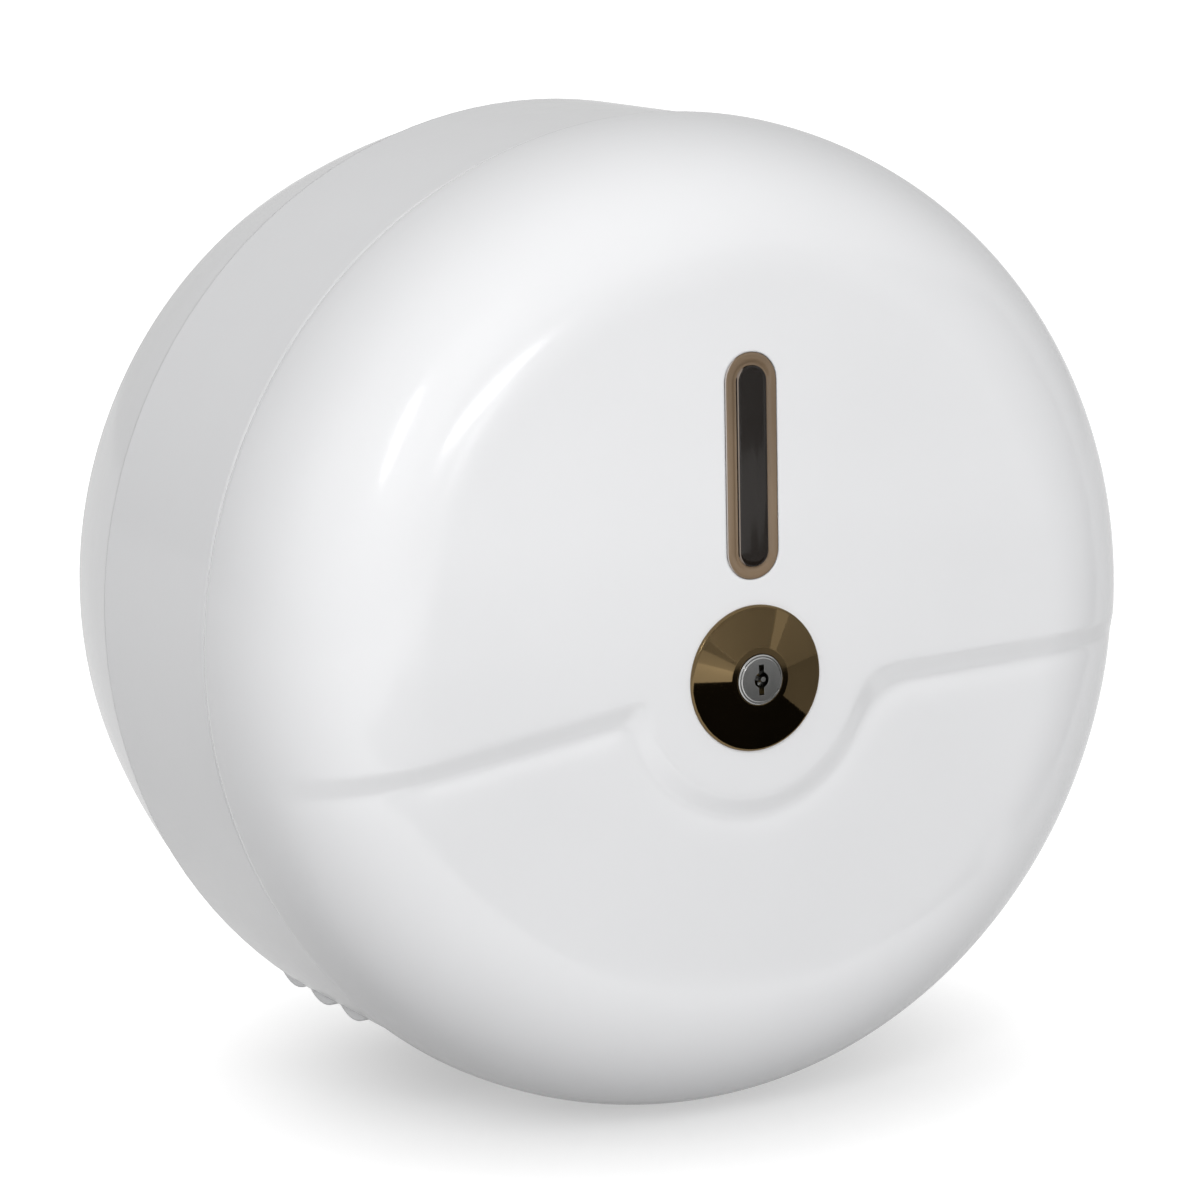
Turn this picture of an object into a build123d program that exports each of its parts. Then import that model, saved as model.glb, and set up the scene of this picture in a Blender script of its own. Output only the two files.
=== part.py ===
"""Wall-mounted drum dispenser for jumbo toilet rolls, as an assembly of separate pieces.

Millimetres. The origin is the centre of the flat back that lies against the wall, on the
axis of the drum. +Y points into the wall, so the front faces -Y, and +Z is up.
"""

import os
from math import radians, sqrt, tan

from build123d import *

# Drum: a base pan against the wall, open at the front
DRUM_RADIUS = 122.5
BASE_DEPTH = 101.0
WALL = 2.8
FLOOR = 3.0
BACK_RADIUS = 112.2
SHOULDER_DEPTH = 20.0
SHOULDER_FULLNESS = 0.5625
CREASE_DEPTH = 41.0
CREASE_STEP = 0.7
BACK_EDGE_FILLET = 2.0
PAN_RIM_FILLET = 1.0
RIB_COUNT = 12
RIB_THICKNESS = 2.0
RIB_HEIGHT = 2.5
RIB_RING_RADIUS = 92.0

# Domed cover on the open front
COVER_OVERHANG = 1.0
COVER_DEPTH = 47.4
COVER_WALL = 2.6
FACE_RADIUS = 86.4
DOME_FULLNESS = 0.6
COVER_RIM_FILLET = 0.5
PARTING_GAP = 0.5
REGISTER_GAP = 0.35
REGISTER_HEIGHT = 4.0
REGISTER_WALL = 2.0
REGISTER_ROOT = 6.0

# Relief: the lower part of the face lies lower, below a line that dips round the lock
RELIEF_DEPTH = 1.8
RELIEF_SLOPE_WIDTH = 4.2
RELIEF_SPREAD = 1.0
RELIEF_FOOT_Z = -13.6
RELIEF_LEFT_FALL = 8.4
RELIEF_ARC_RADIUS = 33.6
RELIEF_LEFT_CORNER = 1.5
RELIEF_RIGHT_CORNER = 8.0

# Sight window: a lens with a raised pane, set in a stepped slot and clipped from inside
WINDOW_WIDTH = 14.4
WINDOW_LENGTH = 54.8
WINDOW_CENTRE_Z = 42.3
WINDOW_CORNER = 7.0
LENS_GAP = 0.12
LENS_RIM_THICKNESS = 1.1
PANE_WIDTH = 8.0
PANE_LENGTH = 48.4
PANE_CORNER = 3.9
PANE_PROUD = 0.9
PANE_ROUNDING = 0.55
PANE_WALL = 1.6
LENS_CLIP_GAP = 0.1
LENS_TAIL = 2.4
CLIP_BORDER = 5.0
CLIP_THICKNESS = 1.8

# Cam lock in the face, with a rosette round it
LOCK_Z = -9.0
LOCK_LENGTH = 22.4
LOCK_RADIUS = 7.2
LOCK_HOLE_GAP = 0.15
LOCK_FLANGE_RADIUS = 11.0
LOCK_FLANGE = 0.9
NOSE_RADIUS = 6.1
NOSE_PROUD = 3.1
NOSE_CHAMFER = 0.25
ROSETTE_RADIUS = 17.8
ROSETTE_CROWN_RADIUS = 7.8
ROSETTE_HOLE_GAP = 0.12
ROSETTE_EDGE = 0.9
ROSETTE_ROLL = 0.6
ROSETTE_RISE = 2.6
ROSETTE_SHEET = 0.8
LOCK_WASHER_RADIUS = 11.5
LOCK_WASHER = 1.0
NUT_ACROSS_FLATS = 20.0
NUT_THICKNESS = 4.0
PLUG_RADIUS = 5.5
PLUG_GAP = 0.06
PLUG_PROUD = 0.2
PLUG_CHAMFER = 0.25
KEYWAY_HEIGHT = 7.5
KEYWAY_WIDTH = 1.5
KEYWAY_DEPTH = 15.0
KEY_POCKET_RADIUS = 2.0
KEY_POCKET_DEPTH = 3.2
KEY_PIN_RADIUS = 1.2
KEY_PIN_OFFSET = 0.75
KEY_PIN_ROOT = 0.7
KEY_PIN_SUNK = 0.4
KEY_PIN_TAPER = 12.0
WAFER_COUNT = 4
WAFER_THICKNESS = 0.8
WAFER_WIDTH = 5.6
WAFER_HEIGHT = 8.6
WAFER_WINDOW_WIDTH = 2.5
WAFER_WINDOW_HEIGHT = 6.5
WAFER_GAP = 0.05
WAFER_PITCH = 2.6
WAFER_FIRST = 4.2
SHANK_SIDE = 6.0
SHANK_GAP = 0.05
CAM_END_GAP = 0.15
CAM_THICKNESS = 2.0
CAM_REACH = 18.4
CAM_HUB_RADIUS = 7.0
CAM_TIP_RADIUS = 4.5
CAM_WASHER_RADIUS = 5.6
CAM_WASHER = 0.8
CAM_SCREW_RADIUS = 1.5
CAM_SCREW_HEAD_RADIUS = 3.2
CAM_SCREW_HEAD = 2.2
CAM_SCREW_DEPTH = 7.0

# Spindle post, screwed to a boss on the pan's floor
BOSS_RADIUS = 30.0
BOSS_HEIGHT = 5.0
POST_FLANGE_RADIUS = 26.0
POST_FLANGE = 4.0
POST_FLANGE_ROUNDING = 1.0
POST_RADIUS = 11.0
POST_BORE_RADIUS = 7.5
POST_END_WALL = 10.0
POST_TO_LOCK = 14.0
POST_SCREW_CIRCLE = 19.5
POST_SCREWS = 3
SCREW_RADIUS = 1.9
SCREW_HEAD_RADIUS = 3.4
SCREW_HEAD = 2.2
SCREW_BITE = 6.0

# Cross-slotted screw heads, as shares of the head's radius or height
HEAD_SLOT_LENGTH = 1.2
HEAD_SLOT_WIDTH = 0.3
HEAD_SLOT_DEPTH = 0.5
HEAD_ROUNDING = 0.4

# Roll hub, which turns on the post
HUB_BORE_GAP = 0.08
HUB_RADIUS = 28.0
HUB_WALL = 2.4
HUB_SLEEVE_WALL = 2.5
HUB_WEBS = 6
HUB_WEB_SET_BACK = 7.1
HUB_FLANGE_RADIUS = 46.0
HUB_FLANGE = 2.4
HUB_CLEARANCE = 4.6
HUB_LENGTH = 84.0
HUB_NOSE = 1.5
HUB_END_PLAY = 0.3
HUB_WASHER = 1.0
HUB_WASHER_RIM = 1.0
RING_THICKNESS = 2.0
RING_RADIUS = 15.0
RING_GROOVE_DEPTH = 0.8
RING_FROM_END = 4.0
RING_MOUTH = 13.0

# Catch on the end of the post, which the cam turns behind
CATCH_SHEET = 2.0
CATCH_HEIGHT = 13.0
CATCH_TAIL = 9.5
CATCH_TIP_GAP = 0.8
CATCH_LIP = 7.0
CATCH_CAM_GAP = 0.7
CATCH_SCREW_SPACING = 10.0
CATCH_SCREW_RADIUS = 1.5
CATCH_SCREW_HEAD_RADIUS = 2.7
CATCH_SCREW_HEAD = 1.8
CATCH_SCREW_BITE = 7.0

# Hinge on the right-hand side
HINGE_STAND_OFF = 2.8
HINGE_Z = -5.0
HINGE_LENGTH = 26.0
KNUCKLE_RADIUS = 3.0
COVER_KNUCKLE_LENGTH = 10.0
KNUCKLE_END_GAP = 0.3
KNUCKLE_CLEARANCE = 0.5
LUG_ROOT = 1.5
LUG_SPREAD = 10.0
HINGE_PIN_RADIUS = 1.25
PIN_GAP = 0.08

# Paper outlet in the bottom, lined by a frame with wavy tear edges
OUTLET_WIDTH = 141.0
OUTLET_FRONT = 79.0
OUTLET_BACK = 20.0
OUTLET_CORNER = 3.0
FRAME_GAP = 0.2
FRAME_WALL = 2.4
FRAME_FLANGE = 5.0
FRAME_FLANGE_THICKNESS = 2.0
TEAR_WAVES = 3
TEAR_WAVE_PITCH = 17.6
TEAR_WAVE_HEIGHT = 3.0
TEAR_EDGE_TAPER = 0.08
TEAR_EDGE_ROOT = 12.0

# Fixings in the back wall
FIXING_SPACING_X = 120.0
FIXING_SPACING_Z = 90.0
FIXING_RADIUS = 2.75
FIXING_PAD_RADIUS = 9.0
FIXING_PAD = 3.0

# Places worked out from the sizes above
PARTING_Y = -BASE_DEPTH
CREASE_RADIUS = DRUM_RADIUS - CREASE_STEP
SHOULDER_RADIUS = BACK_RADIUS + SHOULDER_FULLNESS * (CREASE_RADIUS - BACK_RADIUS)
COVER_BACK_Y = PARTING_Y - PARTING_GAP
FACE_Y = PARTING_Y - COVER_DEPTH
INNER_FACE_Y = FACE_Y + COVER_WALL
COVER_RADIUS = DRUM_RADIUS + COVER_OVERHANG
COVER_BORE_RADIUS = COVER_RADIUS - COVER_WALL
LOCK_BACK_Y = FACE_Y + LOCK_LENGTH
NOSE_FRONT_Y = FACE_Y - NOSE_PROUD
PLUG_FRONT_Y = NOSE_FRONT_Y - PLUG_PROUD
CAM_FRONT_Y = LOCK_BACK_Y + CAM_END_GAP
CAM_BACK_Y = CAM_FRONT_Y + CAM_THICKNESS
CAM_WASHER_BACK_Y = CAM_BACK_Y + CAM_WASHER
POST_BASE_Y = -FLOOR - BOSS_HEIGHT
POST_SEAT_Y = POST_BASE_Y - POST_FLANGE
POST_END_Y = LOCK_BACK_Y + POST_TO_LOCK
POST_LENGTH = POST_BASE_Y - POST_END_Y
RING_FRONT_Y = POST_END_Y + RING_FROM_END
RING_BACK_Y = RING_FRONT_Y + RING_THICKNESS
HUB_WASHER_BACK_Y = RING_BACK_Y + HUB_WASHER
SLEEVE_FRONT_Y = HUB_WASHER_BACK_Y + HUB_END_PLAY
SLEEVE_BACK_Y = POST_SEAT_Y - HUB_END_PLAY
HUB_BACK_Y = POST_SEAT_Y - HUB_CLEARANCE
HUB_FRONT_Y = HUB_BACK_Y - HUB_LENGTH
SLEEVE_RADIUS = POST_RADIUS + HUB_BORE_GAP + HUB_SLEEVE_WALL
CATCH_REACH = CAM_REACH + CATCH_TIP_GAP + CATCH_SHEET
CATCH_LIP_BACK_Y = CAM_FRONT_Y - CATCH_CAM_GAP
CATCH_PLATE_FRONT_Y = POST_END_Y - CATCH_SHEET
HINGE_X = COVER_RADIUS + HINGE_STAND_OFF
OUTLET_CENTRE_Y = -(OUTLET_FRONT + OUTLET_BACK) / 2
OUTLET_LENGTH = OUTLET_FRONT - OUTLET_BACK
OUTLET_TOP_Z = -60.0
BEYOND = 2 * DRUM_RADIUS

LOCK_AXIS = Axis((0, 0, LOCK_Z), (0, 1, 0))


def facing(y, x=0.0, z=0.0):
    """A plane across the drum at y, seen from the front: its x is +X and its y is +Z."""
    return Plane(origin=(x, y, z), x_dir=(1, 0, 0), z_dir=(0, -1, 0))


def facing_lock(y):
    """The same plane, centred on the axis of the lock and the spindle."""
    return facing(y, z=LOCK_Z)


def save(piece, label):
    """Name a finished piece and write its STEP file."""
    piece.label = label
    export_step(piece, os.path.join("parts", label + ".step"))


def turned(points):
    """A solid turned about the lock's axis from (radius, y) points."""
    with BuildPart() as solid:
        with BuildSketch(Plane.XY.offset(LOCK_Z)):
            with BuildLine():
                Polyline(*points, close=True)
            make_face()
        revolve(axis=LOCK_AXIS)
    return solid.part


def pan_side(inset, thickness):
    """A ring that follows the pan's side, inset from its skin and thickness deep."""
    with BuildPart() as ring:
        with BuildSketch(Plane.XY):
            with BuildLine():
                rims = [pan_section(inset), pan_section(inset + thickness)]
                for end in range(2):
                    Line(rims[0][end], rims[1][end])
            make_face()
        revolve(axis=Axis.Y)
    return ring.part


def pan_section(inset):
    """Draw the pan's side in section, drawn in by inset, and return its two ends."""
    back = (BACK_RADIUS - inset, 0)
    shoulder = (SHOULDER_RADIUS - inset, -SHOULDER_DEPTH)
    crease = (CREASE_RADIUS - inset, -CREASE_DEPTH)
    front = (DRUM_RADIUS - inset, PARTING_Y)
    ThreePointArc(back, shoulder, crease)
    Polyline(crease, (DRUM_RADIUS - inset, -CREASE_DEPTH), front)
    return back, front


def tear_line_z(x, y):
    """Height of a tear edge between its waves, which tapers less than the pan's skin."""
    radius = CREASE_RADIUS - TEAR_EDGE_TAPER * max(0, y + CREASE_DEPTH)
    return -sqrt(radius**2 - x**2)


def outlet_block(width, length):
    """A block with rounded corners that stands in the outlet and reaches well below it."""
    with BuildPart() as block:
        with BuildSketch(Plane.XY.offset(OUTLET_TOP_Z)):
            with Locations((0, OUTLET_CENTRE_Y)):
                RectangleRounded(width, length, OUTLET_CORNER)
        extrude(amount=-BEYOND)
    return block.part


def hinge_lug(skin_radius, side, low_z, high_z, bore_radius):
    """A lug from the drum's skin to a bored knuckle; side is -1 for the cover's."""
    root_x = skin_radius - LUG_ROOT
    with BuildPart() as lug:
        with BuildSketch(Plane.XY.offset(low_z)):
            with BuildLine():
                Polyline(
                    (root_x, PARTING_Y + side * PARTING_GAP),
                    (HINGE_X, PARTING_Y + side * PARTING_GAP),
                    (HINGE_X + KNUCKLE_RADIUS, PARTING_Y + side * PARTING_GAP),
                    (root_x, PARTING_Y + side * LUG_SPREAD),
                    close=True,
                )
            make_face()
            with Locations((HINGE_X, PARTING_Y)):
                Circle(KNUCKLE_RADIUS)
                Circle(bore_radius, mode=Mode.SUBTRACT)
        extrude(amount=high_z - low_z)
    return lug.part


def screw(radius, head_radius, head, length):
    """A pan-head screw along -Y from the origin: the head is in front of the y = 0 plane."""
    with BuildPart() as body:
        with BuildSketch(facing(0)):
            Circle(head_radius)
        extrude(amount=head)
        fillet(body.edges().group_by(Axis.Y)[0], head * HEAD_ROUNDING)
        with BuildSketch(facing(0)):
            Circle(radius)
        extrude(amount=-length)
        slot_length = HEAD_SLOT_LENGTH * head_radius
        slot_width = HEAD_SLOT_WIDTH * head_radius
        with BuildSketch(facing(-head)):
            Rectangle(slot_length, slot_width)
            Rectangle(slot_width, slot_length)
        extrude(amount=-head * HEAD_SLOT_DEPTH, mode=Mode.SUBTRACT)
    return body.part


# Base pan: wall plate, side, register lip, ribs, boss, fixings, outlet and hinge lugs
with BuildPart() as base_pan:
    with BuildSketch(Plane.XY):
        with BuildLine():
            outer_back, outer_front = pan_section(0)
            inner_back, inner_front = pan_section(WALL)
            Line(outer_back, inner_back)
            Line(outer_front, inner_front)
        make_face()
    revolve(axis=Axis.Y)
    with BuildSketch(facing(0)):
        Circle(BACK_RADIUS - WALL / 2)
    extrude(amount=FLOOR)
    fillet(base_pan.edges().filter_by(GeomType.CIRCLE).sort_by(Axis.Y)[-1], BACK_EDGE_FILLET)
    rim = base_pan.edges().filter_by(GeomType.CIRCLE).group_by(Axis.Y)[0].sort_by(SortBy.RADIUS)
    fillet(rim[-1], PAN_RIM_FILLET)
    with BuildSketch(Plane.XY):
        with Locations((COVER_BORE_RADIUS - REGISTER_GAP, PARTING_Y - REGISTER_HEIGHT)):
            Rectangle(
                REGISTER_WALL, REGISTER_HEIGHT + REGISTER_ROOT, align=(Align.MAX, Align.MIN)
            )
    revolve(axis=Axis.Y)
    with BuildSketch(facing_lock(-FLOOR)):
        Circle(BOSS_RADIUS)
    extrude(amount=BOSS_HEIGHT)
    with BuildSketch(facing(-FLOOR)):
        with GridLocations(FIXING_SPACING_X, FIXING_SPACING_Z, 2, 2):
            Circle(FIXING_PAD_RADIUS)
    extrude(amount=FIXING_PAD)
    with BuildSketch(facing(-FLOOR)):
        with PolarLocations(0, RIB_COUNT):
            Rectangle(BACK_RADIUS - WALL / 2, RIB_THICKNESS, align=(Align.MIN, Align.CENTER))
        Circle(RIB_RING_RADIUS + RIB_THICKNESS / 2)
        Circle(RIB_RING_RADIUS - RIB_THICKNESS / 2, mode=Mode.SUBTRACT)
        with PolarLocations(0, RIB_COUNT):
            Rectangle(BACK_RADIUS - WALL / 2, RIB_THICKNESS, align=(Align.MIN, Align.CENTER))
    extrude(amount=RIB_HEIGHT)
    with BuildSketch(facing(BEYOND)):
        with GridLocations(FIXING_SPACING_X, FIXING_SPACING_Z, 2, 2):
            Circle(FIXING_RADIUS)
    extrude(amount=2 * BEYOND, mode=Mode.SUBTRACT)
    with BuildSketch(facing_lock(POST_BASE_Y)):
        with PolarLocations(POST_SCREW_CIRCLE, POST_SCREWS, start_angle=90):
            Circle(SCREW_RADIUS)
    extrude(amount=-SCREW_BITE, mode=Mode.SUBTRACT)
    add(outlet_block(OUTLET_WIDTH, OUTLET_LENGTH), mode=Mode.SUBTRACT)
    hinge_low_z = HINGE_Z - HINGE_LENGTH / 2
    base_knuckle = (HINGE_LENGTH - COVER_KNUCKLE_LENGTH) / 2 - KNUCKLE_END_GAP
    for low_z in (hinge_low_z, hinge_low_z + HINGE_LENGTH - base_knuckle):
        add(hinge_lug(DRUM_RADIUS, 1, low_z, low_z + base_knuckle, HINGE_PIN_RADIUS))

# Outlet frame: a flange inside the pan, a wall through the outlet and two tear edges
with BuildPart() as outlet_frame:
    frame_width = OUTLET_WIDTH - 2 * FRAME_GAP
    frame_length = OUTLET_LENGTH - 2 * FRAME_GAP
    add(pan_side(WALL, FRAME_FLANGE_THICKNESS))
    add(
        outlet_block(OUTLET_WIDTH + 2 * FRAME_FLANGE, OUTLET_LENGTH + 2 * FRAME_FLANGE),
        mode=Mode.INTERSECT,
    )
    skirt = pan_side(0, WALL + FRAME_FLANGE_THICKNESS) & outlet_block(frame_width, frame_length)
    add(skirt)
    edge_x = frame_width / 2
    edge_front_y = OUTLET_CENTRE_Y - TEAR_WAVES * TEAR_WAVE_PITCH / 2
    edge_back_y = OUTLET_CENTRE_Y + TEAR_WAVES * TEAR_WAVE_PITCH / 2
    root_z = tear_line_z(edge_x, edge_front_y) + TEAR_EDGE_ROOT
    with BuildSketch(Plane.YZ.offset(-edge_x)):
        with BuildLine():
            for wave in range(TEAR_WAVES):
                start_y = edge_front_y + wave * TEAR_WAVE_PITCH
                crest_y = start_y + TEAR_WAVE_PITCH / 2
                end_y = start_y + TEAR_WAVE_PITCH
                ThreePointArc(
                    (start_y, tear_line_z(edge_x, start_y)),
                    (crest_y, tear_line_z(edge_x, crest_y) - TEAR_WAVE_HEIGHT),
                    (end_y, tear_line_z(edge_x, end_y)),
                )
            Polyline(
                (edge_back_y, tear_line_z(edge_x, edge_back_y)),
                (edge_back_y, root_z),
                (edge_front_y, root_z),
                (edge_front_y, tear_line_z(edge_x, edge_front_y)),
            )
        make_face()
    tear_edge = extrude(amount=FRAME_WALL)
    mirror(tear_edge, about=Plane.YZ)
    add(
        outlet_block(frame_width - 2 * FRAME_WALL, frame_length - 2 * FRAME_WALL),
        mode=Mode.SUBTRACT,
    )

# Spindle post: flange, hollow post, groove for the ring and holes for the catch's screws
with BuildPart() as spindle_post:
    with BuildSketch(facing_lock(POST_BASE_Y)):
        Circle(POST_FLANGE_RADIUS)
    extrude(amount=POST_FLANGE)
    fillet(spindle_post.edges().group_by(Axis.Y)[0], POST_FLANGE_ROUNDING)
    with BuildSketch(facing_lock(POST_BASE_Y)):
        Circle(POST_RADIUS)
    extrude(amount=POST_LENGTH)
    with BuildSketch(facing_lock(POST_BASE_Y)):
        Circle(POST_BORE_RADIUS)
    extrude(amount=POST_LENGTH - POST_END_WALL, mode=Mode.SUBTRACT)
    with BuildSketch(facing_lock(RING_BACK_Y)):
        Circle(RING_RADIUS)
        Circle(POST_RADIUS - RING_GROOVE_DEPTH, mode=Mode.SUBTRACT)
    extrude(amount=RING_THICKNESS, mode=Mode.SUBTRACT)
    with BuildSketch(facing_lock(POST_SEAT_Y)):
        with PolarLocations(POST_SCREW_CIRCLE, POST_SCREWS, start_angle=90):
            Circle(SCREW_RADIUS)
    extrude(amount=-POST_FLANGE, mode=Mode.SUBTRACT)
    with BuildSketch(facing_lock(POST_END_Y)):
        with GridLocations(CATCH_SCREW_SPACING, 0, 2, 1):
            Circle(CATCH_SCREW_RADIUS)
    extrude(amount=-CATCH_SCREW_BITE, mode=Mode.SUBTRACT)

# Screws that hold the post to the pan
with BuildPart() as post_screws:
    with Locations(facing_lock(POST_SEAT_Y)):
        with PolarLocations(POST_SCREW_CIRCLE, POST_SCREWS, start_angle=90) as spots:
            post_screw_spots = spots.locations
    post_screw = screw(SCREW_RADIUS, SCREW_HEAD_RADIUS, SCREW_HEAD, POST_FLANGE + SCREW_BITE)
    for spot in post_screw_spots:
        add(Pos(spot.position) * post_screw)

# Catch: sheet bent forward and back in over the cam's path
with BuildPart() as lock_catch:
    with BuildSketch(Plane.XY.offset(LOCK_Z - CATCH_HEIGHT / 2)):
        with BuildLine():
            Polyline(
                (CATCH_TAIL, POST_END_Y),
                (CATCH_TAIL, CATCH_PLATE_FRONT_Y),
                (CATCH_SHEET - CATCH_REACH, CATCH_PLATE_FRONT_Y),
                (CATCH_SHEET - CATCH_REACH, CATCH_LIP_BACK_Y),
                (CATCH_LIP - CATCH_REACH, CATCH_LIP_BACK_Y),
                (CATCH_LIP - CATCH_REACH, CATCH_LIP_BACK_Y - CATCH_SHEET),
                (-CATCH_REACH, CATCH_LIP_BACK_Y - CATCH_SHEET),
                (-CATCH_REACH, POST_END_Y),
                close=True,
            )
        make_face()
    extrude(amount=CATCH_HEIGHT)
    bend_edges = lock_catch.edges().filter_by(Axis.Z).sort_by(Axis.X)[:2]
    fillet(bend_edges, CATCH_SHEET)
    with BuildSketch(facing_lock(POST_END_Y)):
        with GridLocations(CATCH_SCREW_SPACING, 0, 2, 1):
            Circle(CATCH_SCREW_RADIUS)
    extrude(amount=CATCH_SHEET, mode=Mode.SUBTRACT)

# Screws that hold the catch to the post
with BuildPart() as catch_screws:
    catch_screw = screw(
        CATCH_SCREW_RADIUS, CATCH_SCREW_HEAD_RADIUS, CATCH_SCREW_HEAD, CATCH_SHEET + CATCH_SCREW_BITE
    )
    for side in (-1, 1):
        add(Pos(side * CATCH_SCREW_SPACING / 2, CATCH_PLATE_FRONT_Y, LOCK_Z) * catch_screw)

# Retaining ring in the post's groove, open at the bottom
with BuildPart() as retaining_ring:
    with BuildSketch(facing_lock(RING_BACK_Y)):
        Circle(RING_RADIUS)
        Circle(POST_RADIUS - RING_GROOVE_DEPTH, mode=Mode.SUBTRACT)
        with Locations((0, -RING_RADIUS)):
            Rectangle(RING_MOUTH, 2 * RING_RADIUS, mode=Mode.SUBTRACT)
    extrude(amount=RING_THICKNESS)

# Washer between the ring and the hub
with BuildPart() as hub_washer:
    with BuildSketch(facing_lock(HUB_WASHER_BACK_Y)):
        Circle(SLEEVE_RADIUS + HUB_WASHER_RIM)
        Circle(POST_RADIUS + HUB_BORE_GAP, mode=Mode.SUBTRACT)
    extrude(amount=HUB_WASHER)

# Roll hub: sleeve on the post, outer tube that carries the roll's core, webs and flange
with BuildPart() as roll_hub:
    with BuildSketch(facing_lock(HUB_BACK_Y)):
        Circle(HUB_FLANGE_RADIUS)
    extrude(amount=HUB_FLANGE)
    fillet(roll_hub.edges(), HUB_FLANGE * HEAD_ROUNDING)
    with BuildSketch(facing_lock(HUB_BACK_Y)):
        Circle(HUB_RADIUS)
    extrude(amount=HUB_LENGTH)
    chamfer(roll_hub.edges().group_by(Axis.Y)[0], HUB_NOSE)
    with BuildSketch(facing_lock(HUB_BACK_Y)):
        Circle(HUB_RADIUS - HUB_WALL)
    extrude(amount=HUB_LENGTH, mode=Mode.SUBTRACT)
    with BuildSketch(facing_lock(HUB_BACK_Y)):
        with PolarLocations(0, HUB_WEBS):
            Rectangle(HUB_RADIUS - HUB_WALL / 2, HUB_WALL, align=(Align.MIN, Align.CENTER))
    extrude(amount=HUB_BACK_Y - SLEEVE_FRONT_Y - HUB_WEB_SET_BACK)
    with BuildSketch(facing_lock(SLEEVE_BACK_Y)):
        Circle(SLEEVE_RADIUS)
    extrude(amount=SLEEVE_BACK_Y - SLEEVE_FRONT_Y)
    with BuildSketch(facing_lock(SLEEVE_BACK_Y)):
        Circle(POST_RADIUS + HUB_BORE_GAP)
    extrude(amount=SLEEVE_BACK_Y - SLEEVE_FRONT_Y, mode=Mode.SUBTRACT)

# Hinge pin, pressed into the pan's knuckles
with BuildPart() as hinge_pin:
    with BuildSketch(Plane.XY.offset(hinge_low_z)):
        with Locations((HINGE_X, PARTING_Y)):
            Circle(HINGE_PIN_RADIUS)
    extrude(amount=HINGE_LENGTH)


def dome(radius, face_y, back_y, spread=0.0):
    """A solid dome: a full, rounded shoulder from a flat face back to the rim."""
    rim = radius + spread
    reach = DOME_FULLNESS * (rim - FACE_RADIUS)
    rise = DOME_FULLNESS * (PARTING_Y - face_y)
    with BuildPart() as solid:
        with BuildSketch(Plane.XY):
            with BuildLine():
                Polyline((FACE_RADIUS, face_y), (0, face_y), (0, back_y), (rim, back_y))
                Line((rim, back_y), (rim, PARTING_Y))
                Bezier(
                    (rim, PARTING_Y),
                    (rim, PARTING_Y - rise),
                    (FACE_RADIUS + reach, face_y),
                    (FACE_RADIUS, face_y),
                )
            make_face()
        revolve(axis=Axis.Y)
    return solid.part


def relief_side(lift):
    """The area below the relief line, moved up the sloped wall by lift."""
    line_z = RELIEF_FOOT_Z + lift
    arc = RELIEF_ARC_RADIUS - lift
    meet_x = sqrt(arc**2 - (line_z - LOCK_Z) ** 2)
    left_z = line_z - tan(radians(RELIEF_LEFT_FALL)) * (BEYOND - meet_x)
    with BuildSketch(facing(0)) as side:
        with BuildLine():
            Polyline(
                (meet_x, line_z),
                (BEYOND, line_z),
                (BEYOND, -BEYOND),
                (-BEYOND, -BEYOND),
                (-BEYOND, left_z),
                (-meet_x, line_z),
            )
            ThreePointArc((-meet_x, line_z), (0, LOCK_Z - arc), (meet_x, line_z))
        make_face()
        corners = side.vertices().group_by(Axis.Y)[-1].sort_by(Axis.X)
        fillet(corners[0], RELIEF_LEFT_CORNER + max(lift, 0) / 2)
        fillet(corners[1], RELIEF_RIGHT_CORNER + max(lift, 0) / 2)
    return side.sketch


def relief_tool(radius, face_y, inset):
    """What the relief takes off a dome; inset draws its line down the sloped wall."""
    over = RELIEF_DEPTH / 3
    wide = RELIEF_SLOPE_WIDTH * (1 + over / RELIEF_DEPTH)
    foot_y = face_y + RELIEF_DEPTH
    with BuildPart() as tool:
        with BuildSketch(facing(foot_y)):
            add(relief_side(-inset))
        with BuildSketch(facing(face_y - over)):
            add(relief_side(wide - inset))
        loft(ruled=True)
        with BuildSketch(facing(PARTING_Y)):
            add(relief_side(-inset))
        extrude(amount=PARTING_Y - foot_y)
        add(dome(radius, foot_y, 0, RELIEF_SPREAD), mode=Mode.SUBTRACT)
    return tool.part


# Cover shell: a domed wall with the relief, the window's stepped slot and the lock's hole
with BuildPart() as cavity:
    add(dome(COVER_BORE_RADIUS, INNER_FACE_Y, 0))
    add(relief_tool(COVER_BORE_RADIUS, INNER_FACE_Y, COVER_WALL), mode=Mode.SUBTRACT)

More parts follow.
